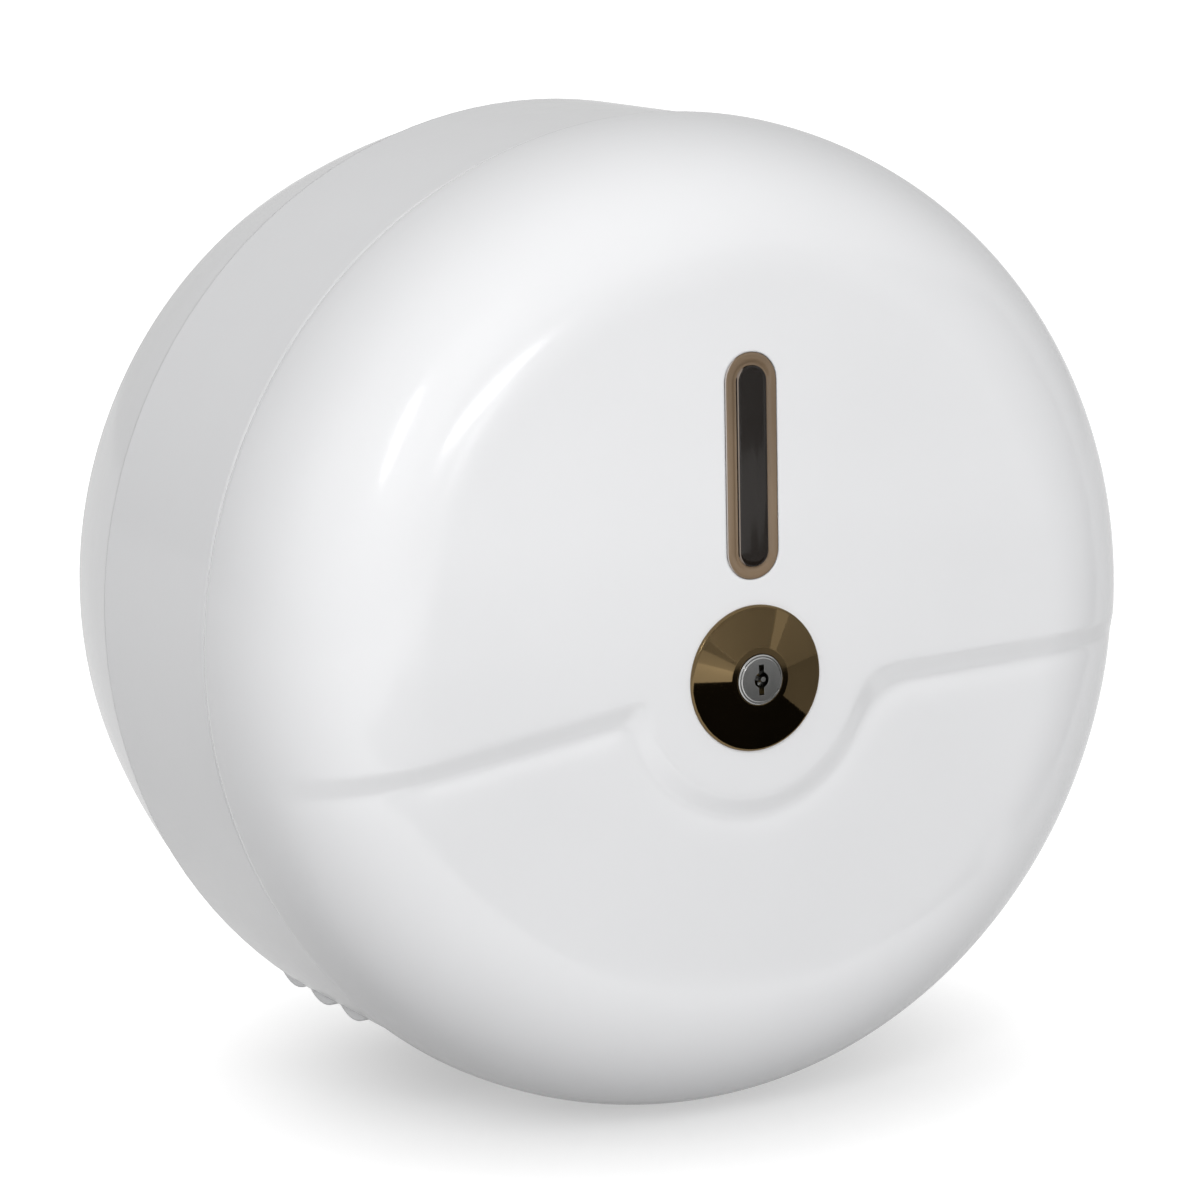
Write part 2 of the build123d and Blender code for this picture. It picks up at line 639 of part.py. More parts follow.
with BuildPart() as cover_shell:
    add(dome(COVER_RADIUS, FACE_Y, 0))
    split(bisect_by=facing(COVER_BACK_Y))
    fillet(cover_shell.edges().group_by(Axis.Y)[-1], COVER_RIM_FILLET)
    add(relief_tool(COVER_RADIUS, FACE_Y, 0), mode=Mode.SUBTRACT)
    add(cavity.part, mode=Mode.SUBTRACT)
    with BuildSketch(facing(FACE_Y + LENS_RIM_THICKNESS, z=WINDOW_CENTRE_Z)):
        RectangleRounded(WINDOW_WIDTH, WINDOW_LENGTH, WINDOW_CORNER)
    extrude(amount=LENS_RIM_THICKNESS, mode=Mode.SUBTRACT)
    with BuildSketch(facing(INNER_FACE_Y, z=WINDOW_CENTRE_Z)):
        RectangleRounded(
            PANE_WIDTH + 2 * LENS_GAP, PANE_LENGTH + 2 * LENS_GAP, PANE_CORNER
        )
    extrude(amount=COVER_WALL, mode=Mode.SUBTRACT)
    with BuildSketch(facing_lock(INNER_FACE_Y)):
        Circle(LOCK_RADIUS + LOCK_HOLE_GAP)
    extrude(amount=COVER_WALL, mode=Mode.SUBTRACT)
    with BuildSketch(Plane.XY.offset(hinge_low_z - KNUCKLE_CLEARANCE)):
        with Locations((HINGE_X, PARTING_Y)):
            Circle(KNUCKLE_RADIUS + KNUCKLE_CLEARANCE)
    extrude(amount=HINGE_LENGTH + 2 * KNUCKLE_CLEARANCE, mode=Mode.SUBTRACT)
    cover_knuckle_low_z = HINGE_Z - COVER_KNUCKLE_LENGTH / 2
    cover_knuckle_high_z = HINGE_Z + COVER_KNUCKLE_LENGTH / 2
    cover_pin_bore = HINGE_PIN_RADIUS + PIN_GAP
    add(hinge_lug(COVER_RADIUS, -1, cover_knuckle_low_z, cover_knuckle_high_z, cover_pin_bore))

# Window lens: a rim in the slot's step, a raised hollow pane and a tail through the slot
with BuildPart() as window_lens:
    with BuildSketch(facing(FACE_Y + LENS_RIM_THICKNESS, z=WINDOW_CENTRE_Z)):
        RectangleRounded(
            WINDOW_WIDTH - 2 * LENS_GAP, WINDOW_LENGTH - 2 * LENS_GAP, WINDOW_CORNER - LENS_GAP
        )
    extrude(amount=LENS_RIM_THICKNESS)
    with BuildSketch(facing(INNER_FACE_Y + LENS_TAIL, z=WINDOW_CENTRE_Z)):
        RectangleRounded(PANE_WIDTH, PANE_LENGTH, PANE_CORNER)
    extrude(amount=COVER_WALL + LENS_TAIL + PANE_PROUD)
    fillet(window_lens.edges().group_by(Axis.Y)[0], PANE_ROUNDING)
    with BuildSketch(facing(INNER_FACE_Y + LENS_TAIL, z=WINDOW_CENTRE_Z)):
        RectangleRounded(
            PANE_WIDTH - 2 * PANE_WALL, PANE_LENGTH - 2 * PANE_WALL, PANE_CORNER - PANE_WALL
        )
    extrude(amount=COVER_WALL + LENS_TAIL + PANE_PROUD - PANE_WALL, mode=Mode.SUBTRACT)

# Clip that holds the lens from inside
with BuildPart() as window_clip:
    with BuildSketch(facing(INNER_FACE_Y + CLIP_THICKNESS, z=WINDOW_CENTRE_Z)):
        RectangleRounded(PANE_WIDTH + 2 * CLIP_BORDER, PANE_LENGTH + 2 * CLIP_BORDER, CLIP_BORDER)
        RectangleRounded(
            PANE_WIDTH + 2 * LENS_CLIP_GAP,
            PANE_LENGTH + 2 * LENS_CLIP_GAP,
            PANE_CORNER,
            mode=Mode.SUBTRACT,
        )
    extrude(amount=CLIP_THICKNESS)

# Rosette: a shallow sheet cone with a flat crown and a rolled edge
rosette_hole = NOSE_RADIUS + ROSETTE_HOLE_GAP
rosette_front_y = FACE_Y - ROSETTE_RISE
with BuildPart() as lock_rosette:
    add(
        turned(
            [
                (rosette_hole, rosette_front_y),
                (ROSETTE_CROWN_RADIUS, rosette_front_y),
                (ROSETTE_RADIUS, FACE_Y - ROSETTE_EDGE),
                (ROSETTE_RADIUS, FACE_Y),
                (ROSETTE_RADIUS - ROSETTE_SHEET, FACE_Y),
                (ROSETTE_CROWN_RADIUS, rosette_front_y + ROSETTE_SHEET),
                (rosette_hole, rosette_front_y + ROSETTE_SHEET),
            ]
        )
    )
    outer_edges = lock_rosette.edges().filter_by(GeomType.CIRCLE).group_by(SortBy.RADIUS)[-1]
    fillet(outer_edges.sort_by(Axis.Y)[0], ROSETTE_ROLL)

# Lock body: a thin nose round the plug, a flange on the face and a barrel through it
with BuildPart() as lock_body:
    add(
        turned(
            [
                (PLUG_RADIUS + PLUG_GAP, NOSE_FRONT_Y),
                (NOSE_RADIUS - NOSE_CHAMFER, NOSE_FRONT_Y),
                (NOSE_RADIUS, NOSE_FRONT_Y + NOSE_CHAMFER),
                (NOSE_RADIUS, FACE_Y - LOCK_FLANGE),
                (LOCK_FLANGE_RADIUS, FACE_Y - LOCK_FLANGE),
                (LOCK_FLANGE_RADIUS, FACE_Y),
                (LOCK_RADIUS, FACE_Y),
                (LOCK_RADIUS, LOCK_BACK_Y),
                (PLUG_RADIUS + PLUG_GAP, LOCK_BACK_Y),
            ]
        )
    )

# Washer and nut that clamp the lock to the face
with BuildPart() as lock_washer:
    with BuildSketch(facing_lock(INNER_FACE_Y + LOCK_WASHER)):
        Circle(LOCK_WASHER_RADIUS)
        Circle(LOCK_RADIUS + LOCK_HOLE_GAP, mode=Mode.SUBTRACT)
    extrude(amount=LOCK_WASHER)

with BuildPart() as lock_nut:
    with BuildSketch(facing_lock(INNER_FACE_Y + LOCK_WASHER + NUT_THICKNESS)):
        RegularPolygon(NUT_ACROSS_FLATS / 2, 6, major_radius=False)
        Circle(LOCK_RADIUS, mode=Mode.SUBTRACT)
    extrude(amount=NUT_THICKNESS)

# Lock plug: keyway and pocket in front, slots for the wafers and a square shank for the cam
key_pocket_y = PLUG_FRONT_Y + KEY_POCKET_DEPTH
with BuildPart() as lock_plug:
    with BuildSketch(facing_lock(LOCK_BACK_Y)):
        Circle(PLUG_RADIUS)
    extrude(amount=LOCK_BACK_Y - PLUG_FRONT_Y)
    chamfer(lock_plug.edges().group_by(Axis.Y)[0], PLUG_CHAMFER)
    with BuildSketch(facing_lock(CAM_BACK_Y)):
        Rectangle(SHANK_SIDE, SHANK_SIDE)
    extrude(amount=CAM_BACK_Y - LOCK_BACK_Y)
    with BuildSketch(facing_lock(PLUG_FRONT_Y)):
        Rectangle(KEYWAY_WIDTH, KEYWAY_HEIGHT)
    extrude(amount=-KEYWAY_DEPTH, mode=Mode.SUBTRACT)
    with BuildSketch(facing_lock(PLUG_FRONT_Y)):
        Circle(KEY_POCKET_RADIUS)
    extrude(amount=-KEY_POCKET_DEPTH, mode=Mode.SUBTRACT)
    with BuildSketch(facing(key_pocket_y, x=KEY_PIN_OFFSET, z=LOCK_Z)):
        Circle(KEY_PIN_RADIUS)
    extrude(amount=-KEY_PIN_ROOT, mode=Mode.SUBTRACT)
    for wafer in range(WAFER_COUNT):
        wafer_y = PLUG_FRONT_Y + WAFER_FIRST + wafer * WAFER_PITCH
        with BuildSketch(facing_lock(wafer_y + WAFER_THICKNESS + WAFER_GAP)):
            Rectangle(WAFER_WIDTH + 2 * WAFER_GAP, WAFER_HEIGHT + 2 * WAFER_GAP)
        extrude(amount=WAFER_THICKNESS + 2 * WAFER_GAP, mode=Mode.SUBTRACT)
    with BuildSketch(facing_lock(CAM_BACK_Y)):
        Circle(CAM_SCREW_RADIUS)
    extrude(amount=CAM_SCREW_DEPTH, mode=Mode.SUBTRACT)

# Guide pin in the pocket, which a bored key slides over
with BuildPart() as key_guide_pin:
    with BuildSketch(facing(key_pocket_y + KEY_PIN_ROOT, x=KEY_PIN_OFFSET, z=LOCK_Z)):
        Circle(KEY_PIN_RADIUS)
    extrude(amount=KEY_PIN_ROOT)
    with BuildSketch(facing(key_pocket_y, x=KEY_PIN_OFFSET, z=LOCK_Z)):
        Circle(KEY_PIN_RADIUS)
    extrude(amount=KEY_POCKET_DEPTH - KEY_PIN_SUNK, taper=KEY_PIN_TAPER)

# Wafers in the plug, each with a window that the key passes through
with BuildPart() as lock_wafers:
    for wafer in range(WAFER_COUNT):
        wafer_y = PLUG_FRONT_Y + WAFER_FIRST + wafer * WAFER_PITCH
        with BuildSketch(facing_lock(wafer_y + WAFER_THICKNESS)):
            Rectangle(WAFER_WIDTH, WAFER_HEIGHT)
            Rectangle(WAFER_WINDOW_WIDTH, WAFER_WINDOW_HEIGHT, mode=Mode.SUBTRACT)
        extrude(amount=WAFER_THICKNESS)

# Cam: a tongue that points down when the lock is open
with BuildPart() as lock_cam:
    with BuildSketch(facing_lock(CAM_BACK_Y)):
        Circle(CAM_HUB_RADIUS)
        with Locations((0, CAM_TIP_RADIUS - CAM_REACH)):
            Circle(CAM_TIP_RADIUS)
        make_hull()
        Rectangle(SHANK_SIDE + 2 * SHANK_GAP, SHANK_SIDE + 2 * SHANK_GAP, mode=Mode.SUBTRACT)
    extrude(amount=CAM_THICKNESS)

# Washer and screw that hold the cam on the plug
with BuildPart() as cam_washer:
    with BuildSketch(facing_lock(CAM_WASHER_BACK_Y)):
        Circle(CAM_WASHER_RADIUS)
        Circle(CAM_SCREW_RADIUS, mode=Mode.SUBTRACT)
    extrude(amount=CAM_WASHER)

with BuildPart() as cam_screw:
    back_screw = screw(
        CAM_SCREW_RADIUS, CAM_SCREW_HEAD_RADIUS, CAM_SCREW_HEAD, CAM_WASHER + CAM_SCREW_DEPTH
    )
    add(Pos(0, CAM_WASHER_BACK_Y, LOCK_Z) * Rot(0, 0, 180) * back_screw)

PIECES = {
    "base_pan": base_pan,
    "outlet_frame": outlet_frame,
    "spindle_post": spindle_post,
    "post_screws": post_screws,
    "lock_catch": lock_catch,
    "catch_screws": catch_screws,
    "retaining_ring": retaining_ring,
    "hub_washer": hub_washer,
    "roll_hub": roll_hub,
    "hinge_pin": hinge_pin,
    "cover_shell": cover_shell,
    "window_lens": window_lens,
    "window_clip": window_clip,
    "lock_rosette": lock_rosette,
    "lock_body": lock_body,
    "lock_washer": lock_washer,
    "lock_nut": lock_nut,
    "lock_plug": lock_plug,
    "key_guide_pin": key_guide_pin,
    "lock_wafers": lock_wafers,
    "lock_cam": lock_cam,
    "cam_washer": cam_washer,
    "cam_screw": cam_screw,
}

os.makedirs("parts", exist_ok=True)
for name, piece in PIECES.items():
    save(piece.part, name)
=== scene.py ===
"""Looks for a wall-mounted drum dispenser: finishes, small fittings, light and camera.

Everything is in metres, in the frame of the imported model: the origin is the centre of the
back that lies against the wall, the front faces -Y and +Z is up.
"""

import logging
import math
from collections.abc import Iterable
from dataclasses import dataclass, field
from enum import Enum

import bmesh
import bpy
from mathutils import Matrix, Vector


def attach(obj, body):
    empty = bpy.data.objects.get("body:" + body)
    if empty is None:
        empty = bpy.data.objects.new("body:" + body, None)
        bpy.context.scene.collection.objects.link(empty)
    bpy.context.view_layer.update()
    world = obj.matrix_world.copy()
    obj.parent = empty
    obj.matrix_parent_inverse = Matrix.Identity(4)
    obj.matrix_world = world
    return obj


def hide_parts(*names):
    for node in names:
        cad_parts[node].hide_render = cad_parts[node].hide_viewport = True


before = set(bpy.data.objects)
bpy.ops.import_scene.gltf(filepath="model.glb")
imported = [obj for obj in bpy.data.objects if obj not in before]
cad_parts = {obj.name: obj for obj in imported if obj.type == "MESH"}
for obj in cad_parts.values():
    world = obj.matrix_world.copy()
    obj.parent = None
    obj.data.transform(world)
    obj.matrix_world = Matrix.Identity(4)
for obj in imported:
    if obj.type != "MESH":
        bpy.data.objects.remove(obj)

LOG = logging.getLogger("dispenser")
MM = 0.001
SHARP_ABOVE = math.radians(40.0)

FACE_Y = -148.4 * MM
LOCK_Z = -9.0 * MM
WINDOW_Z = 42.3 * MM
WINDOW_OPENING = (14.4 * MM, 54.8 * MM, 7.0 * MM)


class Body(Enum):
    """The rigid bodies that pieces ride on."""

    BASE = "base"
    COVER = "cover"
    LOCK = "lock"
    HUB = "hub"


class Slot(Enum):
    """The record's material slots."""

    WHITE = "white_abs"
    GREY = "grey_abs"
    SMOKE = "smoke_lens"
    BRONZE = "bronze_plate"
    NICKEL = "nickel_plate"
    ZINC = "zinc_steel"
    BRASS = "brass_wafer"
    NYLON = "nylon"


class Operation(Enum):
    """Math node operations that the Value class uses."""

    ADD = "ADD"
    SUBTRACT = "SUBTRACT"
    MULTIPLY = "MULTIPLY"
    POWER = "POWER"
    MAXIMUM = "MAXIMUM"


class Value:
    """A socket that carries a number, so that shader maths reads as plain maths."""

    def __init__(self, tree: "Tree", socket: bpy.types.NodeSocket) -> None:
        """Wrap a socket.

        Args:
            tree: the node tree that new nodes go into.
            socket: the output socket that carries the number.
        """
        self.tree = tree
        self.socket = socket

    def _maths(self, operation: Operation, first: object, second: object = None) -> "Value":
        """Add one Math node.

        Args:
            operation: what the node does.
            first: its first number or Value.
            second: its second number or Value, if it takes one.

        Returns:
            The node's result.
        """
        inputs = {0: first} if second is None else {0: first, 1: second}
        node = self.tree.node("ShaderNodeMath", {"operation": operation.value}, inputs)
        return Value(self.tree, node.outputs[0])

    def __add__(self, other: object) -> "Value":
        """Add a number or Value."""
        return self._maths(Operation.ADD, self, other)

    __radd__ = __add__

    def __sub__(self, other: object) -> "Value":
        """Take a number or Value off."""
        return self._maths(Operation.SUBTRACT, self, other)

    def __rsub__(self, other: object) -> "Value":
        """Take this off a number."""
        return self._maths(Operation.SUBTRACT, other, self)

    def __mul__(self, other: object) -> "Value":
        """Multiply by a number or Value."""
        return self._maths(Operation.MULTIPLY, self, other)

    __rmul__ = __mul__

    def __pow__(self, other: object) -> "Value":
        """Raise to a power."""
        return self._maths(Operation.POWER, self, other)

    def at_least(self, other: object) -> "Value":
        """The larger of this and another number or Value."""
        return self._maths(Operation.MAXIMUM, self, other)

    def ramp(self, low: float, high: float) -> "Value":
        """Map low..high smoothly onto 0..1.

        Args:
            low: the value that becomes 0.
            high: the value that becomes 1.

        Returns:
            The mapped value, held between 0 and 1.
        """
        node = self.tree.node(
            "ShaderNodeMapRange",
            {"interpolation_type": "SMOOTHSTEP"},
            {"Value": self, "From Min": low, "From Max": high},
        )
        return Value(self.tree, node.outputs["Result"])


class Tree:
    """The node tree of a material or world, built from its shader outwards."""

    def __init__(
        self,
        owner: bpy.types.ID,
        shader: str = "ShaderNodeBsdfPrincipled",
        output: str = "ShaderNodeOutputMaterial",
    ) -> None:
        """Clear the tree and give it one shader.

        Args:
            owner: the material or world.
            shader: the shader's type.
            output: the output node's type.
        """
        owner.use_nodes = True
        self.nodes = owner.node_tree.nodes
        self.links = owner.node_tree.links
        self.nodes.clear()
        self.shader = self.node(shader, {}, {})
        self.output = self.node(output, {}, {"Surface": self.shader.outputs[0]})

    def node(self, kind: str, settings: dict, inputs: dict) -> bpy.types.Node:
        """Add a node.

        Args:
            kind: the node's type.
            settings: its properties.
            inputs: values, Values or sockets for its inputs, by name or number.

        Returns:
            The new node.
        """
        node = self.nodes.new(kind)
        for name, setting in settings.items():
            setattr(node, name, setting)
        for name, source in inputs.items():
            self.feed(node.inputs[name], source)
        return node

    def feed(self, socket: bpy.types.NodeSocket, source: object) -> None:
        """Link a source to an input, or set the input's own value."""
        if isinstance(source, Value):
            self.links.new(source.socket, socket)
        elif isinstance(source, bpy.types.NodeSocket):
            self.links.new(source, socket)
        elif isinstance(source, tuple) and len(source) == 3 and socket.type == "RGBA":
            socket.default_value = (*source, 1.0)
        else:
            socket.default_value = source

    def position(self) -> bpy.types.NodeSocket:
        """The point on the surface, in the piece's own metres."""
        return self.node("ShaderNodeTexCoord", {}, {}).outputs["Object"]

    def stretched(self, scale: tuple[float, float, float]) -> bpy.types.NodeSocket:
        """The surface point with each axis multiplied by its own scale."""
        inputs = {"Vector": self.position(), "Scale": scale}
        return self.node("ShaderNodeMapping", {"vector_type": "POINT"}, inputs).outputs[0]

    def noise(self, scale: float, detail: float = 2.0, place: object = None) -> Value:
        """Fractal noise.

        Args:
            scale: features per metre.
            detail: how many finer layers it has.
            place: the point it is read at, by default the surface point.

        Returns:
            The noise, about 0.5 on average.
        """
        place = self.position() if place is None else place
        inputs = {"Vector": place, "Scale": scale, "Detail": detail}
        return Value(self, self.node("ShaderNodeTexNoise", {}, inputs).outputs[0])

    def axis(self, letter: str) -> Value:
        """One coordinate of the surface point."""
        node = self.node("ShaderNodeSeparateXYZ", {}, {0: self.position()})
        return Value(self, node.outputs[letter])

    def facing(self, letter: str) -> Value:
        """One component of the surface's direction, in the piece's own frame."""
        way = self.node("ShaderNodeTexCoord", {}, {}).outputs["Normal"]
        return Value(self, self.node("ShaderNodeSeparateXYZ", {}, {0: way}).outputs[letter])

    def blend(self, factor: Value, first: tuple, second: tuple) -> bpy.types.NodeSocket:
        """Mix two colours by a factor that varies over the surface."""
        inputs = {"Factor": factor, "A": first, "B": second}
        node = self.node("ShaderNodeMix", {"data_type": "RGBA"}, {})
        for socket in node.inputs:
            if socket.name in inputs and socket.type in ("RGBA", "VALUE") and socket.enabled:
                self.feed(socket, inputs[socket.name])
        return next(s for s in node.outputs if s.enabled)

    def rounded(self, radius: float) -> bpy.types.NodeSocket:
        """A normal that rounds every edge by radius, in metres."""
        return self.node("ShaderNodeBevel", {"samples": 6}, {"Radius": radius}).outputs[0]

    def bump(self, height: Value, distance: float, under: object = None) -> None:
        """Raise the surface by height times distance, over an optional normal."""
        inputs = {"Height": height, "Distance": distance}
        if under is not None:
            inputs["Normal"] = under
        node = self.node("ShaderNodeBump", {}, inputs)
        self.set("Normal", node.outputs[0])

    def set(self, name: str, source: object) -> None:
        """Set one of the Principled shader's inputs."""
        self.feed(self.shader.inputs[name], source)


@dataclass(frozen=True)
class Finish:
    """A surface finish, which one method turns into a material."""

    name: str
    slot: Slot
    color: tuple[float, float, float]
    roughness: float

    def dress(self, tree: Tree) -> None:
        """Set the finish's nodes; the kinds of finish below each have their own."""
        raise NotImplementedError

    def material(self) -> bpy.types.Material:
        """Make the material, or find it if it is there.

        Returns:
            The material for this finish.
        """
        found = bpy.data.materials.get(self.name)
        if found is None:
            found = bpy.data.materials.new(self.name)
            found.diffuse_color = (*self.color, 1.0)
            self.dress(Tree(found))
        return found


@dataclass(frozen=True)
class Moulding(Finish):
    """Injection-moulded plastic: faint flow marks, a soft skin and rounded edges.

    Attributes:
        edge: how far the bevel shader rounds its edges.
        skin_bump: how high its fine grain stands.
        coat: the share of clear gloss on top.
    """

    edge: float = 0.0006
    skin_bump: float = 0.00001
    coat: float = 0.0

    def dress(self, tree: Tree) -> None:
        """Set colour, roughness and skin."""
        flow = tree.noise(scale=9.0, detail=3.0)
        tint = tuple(channel * 0.965 for channel in self.color)
        tree.set("Base Color", tree.blend(flow.ramp(0.35, 0.75), self.color, tint))
        haze = tree.noise(scale=140.0, detail=3.0)
        tree.set("Roughness", self.roughness + 0.05 * (haze - 0.5) + 0.03 * (flow - 0.5))
        tree.set("IOR", 1.5)
        tree.set("Coat Weight", self.coat)
        tree.set("Coat Roughness", 0.08)
        skin = tree.noise(scale=650.0, detail=2.0)
        tree.bump(skin, self.skin_bump, tree.rounded(self.edge))


@dataclass(frozen=True)
class Plate(Finish):
    """Polished plating: a tinted mirror with a faint haze and fine wiping marks."""

    haze: float = 0.04
    edge: float = 0.0002
    wipe_bump: float = 0.000002

    def dress(self, tree: Tree) -> None:
        """Set the metal, its haze and its wiping marks."""
        cloud = tree.noise(scale=60.0, detail=3.0)
        wipes = tree.noise(scale=900.0, detail=2.0, place=tree.stretched((1.0, 0.2, 0.15)))
        dull = tuple(channel * 0.85 for channel in self.color)
        tree.set("Base Color", tree.blend(cloud.ramp(0.3, 0.8), self.color, dull))
        tree.set("Metallic", 1.0)
        tree.set("Roughness", self.roughness + self.haze * (wipes - 0.3).at_least(0.0))
        tree.bump(wipes, self.wipe_bump, tree.rounded(self.edge))


@dataclass(frozen=True)
class Zinc(Finish):
    """Bright zinc plating: a spangled grey metal, duller where it is handled."""

    edge: float = 0.0002
    spangle_bump: float = 0.00002

    def dress(self, tree: Tree) -> None:
        """Set the metal and its mottling."""
        spangle = tree.noise(scale=420.0, detail=4.0)
        film = tree.noise(scale=50.0, detail=2.0)
        warm = (self.color[0] * 0.93, self.color[1] * 0.9, self.color[2] * 0.82)
        tree.set("Base Color", tree.blend(film.ramp(0.4, 0.7), self.color, warm))
        tree.set("Metallic", 1.0)
        tree.set("Roughness", self.roughness + 0.16 * (spangle - 0.5))
        tree.bump(spangle, self.spangle_bump, tree.rounded(self.edge))


@dataclass(frozen=True)
class SmokedAcrylic(Finish):
    """Smoke-tinted clear acrylic with a polished, slightly wavy face, with a painted highlight and
    painted shade on its edges.
    """

    alpha: float = 0.8
    # Painted highlight: the colour given to edges that face left, standing in for the light they
    # catch.
    painted_highlight: tuple[float, float, float] = (0.04, 0.034, 0.03)
    # Painted shade: the colour given to edges that face right and to the steepest left walls.
    painted_shade: tuple[float, float, float] = (0.012, 0.009, 0.009)
    edge: float = 0.0004
    wave_bump: float = 0.00005

    def dress(self, tree: Tree) -> None:
        """Set the tint, with a painted highlight on edges that face left and painted shade on those
        that face right and on the steepest left walls.
        """
        wave = tree.noise(scale=45.0, detail=1.0)
        slope, wall = (0.45, 0.62), (0.93, 0.97)
        right = tree.facing("X")
        left = -1.0 * right
        tint = tree.blend(wave.ramp(0.3, 0.7), self.color, tuple(1.25 * c for c in self.color))
        # Painted highlight: left-facing slopes take the highlight colour, which fades out again on
        # the steepest walls.
        tint = tree.blend(left.ramp(*slope) - left.ramp(*wall), tint, self.painted_highlight)
        # Painted shade: right-facing edges and the steepest left walls take the shade colour.
        dark = right.ramp(0.4, 0.6) + left.ramp(*wall)
        tree.set("Base Color", tree.blend(dark, tint, self.painted_shade))
        tree.set("Roughness", self.roughness + 0.02 * wave)
        tree.set("IOR", 1.42)
        tree.set("Alpha", self.alpha)
        tree.bump(wave, self.wave_bump, tree.rounded(self.edge))


WHITE_SHELL = Moulding("white_abs_gloss", Slot.WHITE, (0.87, 0.873, 0.885), 0.16, 0.0009, coat=0.25)
WHITE_INNER = Moulding("white_abs_inner", Slot.WHITE, (0.82, 0.825, 0.83), 0.32, 0.0005)
GREY_FRAME = Moulding("grey_abs_satin", Slot.GREY, (0.42, 0.43, 0.44), 0.42, 0.0005, 0.00002)
NYLON_NATURAL = Moulding("nylon_natural", Slot.NYLON, (0.75, 0.73, 0.66), 0.5, 0.0003, 0.00002)
BRONZE = Plate("bronze_mirror", Slot.BRONZE, (0.195, 0.137, 0.068), 0.03)
NICKEL = Plate("nickel_satin", Slot.NICKEL, (0.52, 0.52, 0.51), 0.16, edge=0.0001)
ZINC = Zinc("zinc_plate", Slot.ZINC, (0.60, 0.61, 0.63), 0.32)
BRASS = Plate("brass_rolled", Slot.BRASS, (0.62, 0.45, 0.2), 0.25, 0.1, 0.00005)
# The last colour of each smoked finish is its painted highlight on left-facing edges; both keep the
# default painted shade.
SMOKE = SmokedAcrylic(
    "smoked_acrylic", Slot.SMOKE, (0.013, 0.010, 0.008), 0.04, 0.9, (0.30, 0.25, 0.21)
)
SMOKE_RIM = SmokedAcrylic(
    "smoked_acrylic_rim", Slot.SMOKE, (0.22, 0.155, 0.098), 0.05, 0.85, (0.55, 0.50, 0.47)
)


def dress_node(name: str, finish: Finish) -> None:
    """Give a CAD node a finish and smooth shading.

    Args:
        name: the node.
        finish: its finish.
    """
    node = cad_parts[name]
    node.data.materials.clear()
    node.data.materials.append(finish.material())
    node.data.shade_smooth()
    node.data.set_sharp_from_angle(angle=SHARP_ABOVE)
    LOG.info("dressed %s in %s", name, finish.name)


def mesh_object(name: str, shape: bmesh.types.BMesh) -> bpy.types.Object:
    """Turn a finished bmesh into an object in the scene."""
    mesh = bpy.data.meshes.new(name)
    shape.to_mesh(mesh)
    shape.free()
    made = bpy.data.objects.new(name, mesh)
    bpy.context.scene.collection.objects.link(made)
    return made


def ring_points(radius: float, count: int, u: float, v: float) -> list[tuple[float, float]]:
    """Points round a circle about (u, v)."""
    turns = (2 * math.pi * k / count for k in range(count))
    return [(u + radius * math.cos(t), v + radius * math.sin(t)) for t in turns]


def rounded_slot(
    width: float, length: float, corner: float, centre: float, steps: int = 12
) -> list[tuple[float, float]]:
    """Points round an upright rectangle with rounded corners, as (x, z) pairs.

    Args:
        width: its size along x.
        length: its size along z.
        corner: the radius of its corners.
        centre: the z of its centre.
        steps: how many edges each corner has.

    Returns:
        The points.
    """
    points = []
    for quarter, (side, end) in enumerate(((1, 1), (-1, 1), (-1, -1), (1, -1))):
        for k in range(steps + 1):
            angle = math.radians(90.0 * (quarter + k / steps))
            x = side * (width / 2 - corner) + corner * math.cos(angle)
            z = centre + end * (length / 2 - corner) + corner * math.sin(angle)
            points.append((x, z))
    return points


def extruded(points: list[Vector], step: Vector) -> bpy.types.Object:
    """A closed block swept from a flat polygon by a step."""
    shape = bmesh.new()
    low = [shape.verts.new(point) for point in points]
    high = [shape.verts.new(point + step) for point in points]
    shape.faces.new(low)
    shape.faces.new(high[::-1])
    for k, vert in enumerate(low):
        after = (k + 1) % len(low)
        shape.faces.new((vert, high[k], high[after], low[after]))
    bmesh.ops.recalc_face_normals(shape, faces=shape.faces)
    return mesh_object("block", shape)


def slab(points: list[tuple[float, float]], front: float, back: float) -> bpy.types.Object:
    """A block along y from (x, z) points."""
    return extruded([Vector((x, front, z)) for x, z in points], Vector((0.0, back - front, 0.0)))


def post(points: list[tuple[float, float]], low: float, high: float) -> bpy.types.Object:
    """A block along z from (x, y) points."""
    return extruded([Vector((x, y, low)) for x, y in points], Vector((0.0, 0.0, high - low)))


def carve(target: bpy.types.Object, tool: bpy.types.Object, operation: str) -> None:
    """Apply a boolean with a tool object to a target's mesh, and remove the tool."""
    modifier = target.modifiers.new("carve", "BOOLEAN")
    modifier.operation = operation
    modifier.object = tool
    modifier.solver = "EXACT"
    graph = bpy.context.evaluated_depsgraph_get()
    carved = bpy.data.meshes.new_from_object(target.evaluated_get(graph))
    target.modifiers.clear()
    old, target.data = target.data, carved
    bpy.data.meshes.remove(old)
    spare = tool.data
    bpy.data.objects.remove(tool)
    bpy.data.meshes.remove(spare)


@dataclass
class Fittings:
    """Pieces that keep the CAD model's shape, each with the finish that it gets."""

    nodes: dict[str, Finish] = field(default_factory=dict)

    def build(self) -> None:
        """Dress the pieces."""
        for name, finish in self.nodes.items():
            dress_node(name, finish)


@dataclass
class Drum(Fittings):
    """The pan against the wall, its outlet frame and its hinge pin."""

    nodes: dict[str, Finish] = field(
        default_factory=lambda: {
            "base_pan": WHITE_SHELL,
            "outlet_frame": WHITE_SHELL,
            "hinge_pin": ZINC,
        }
    )


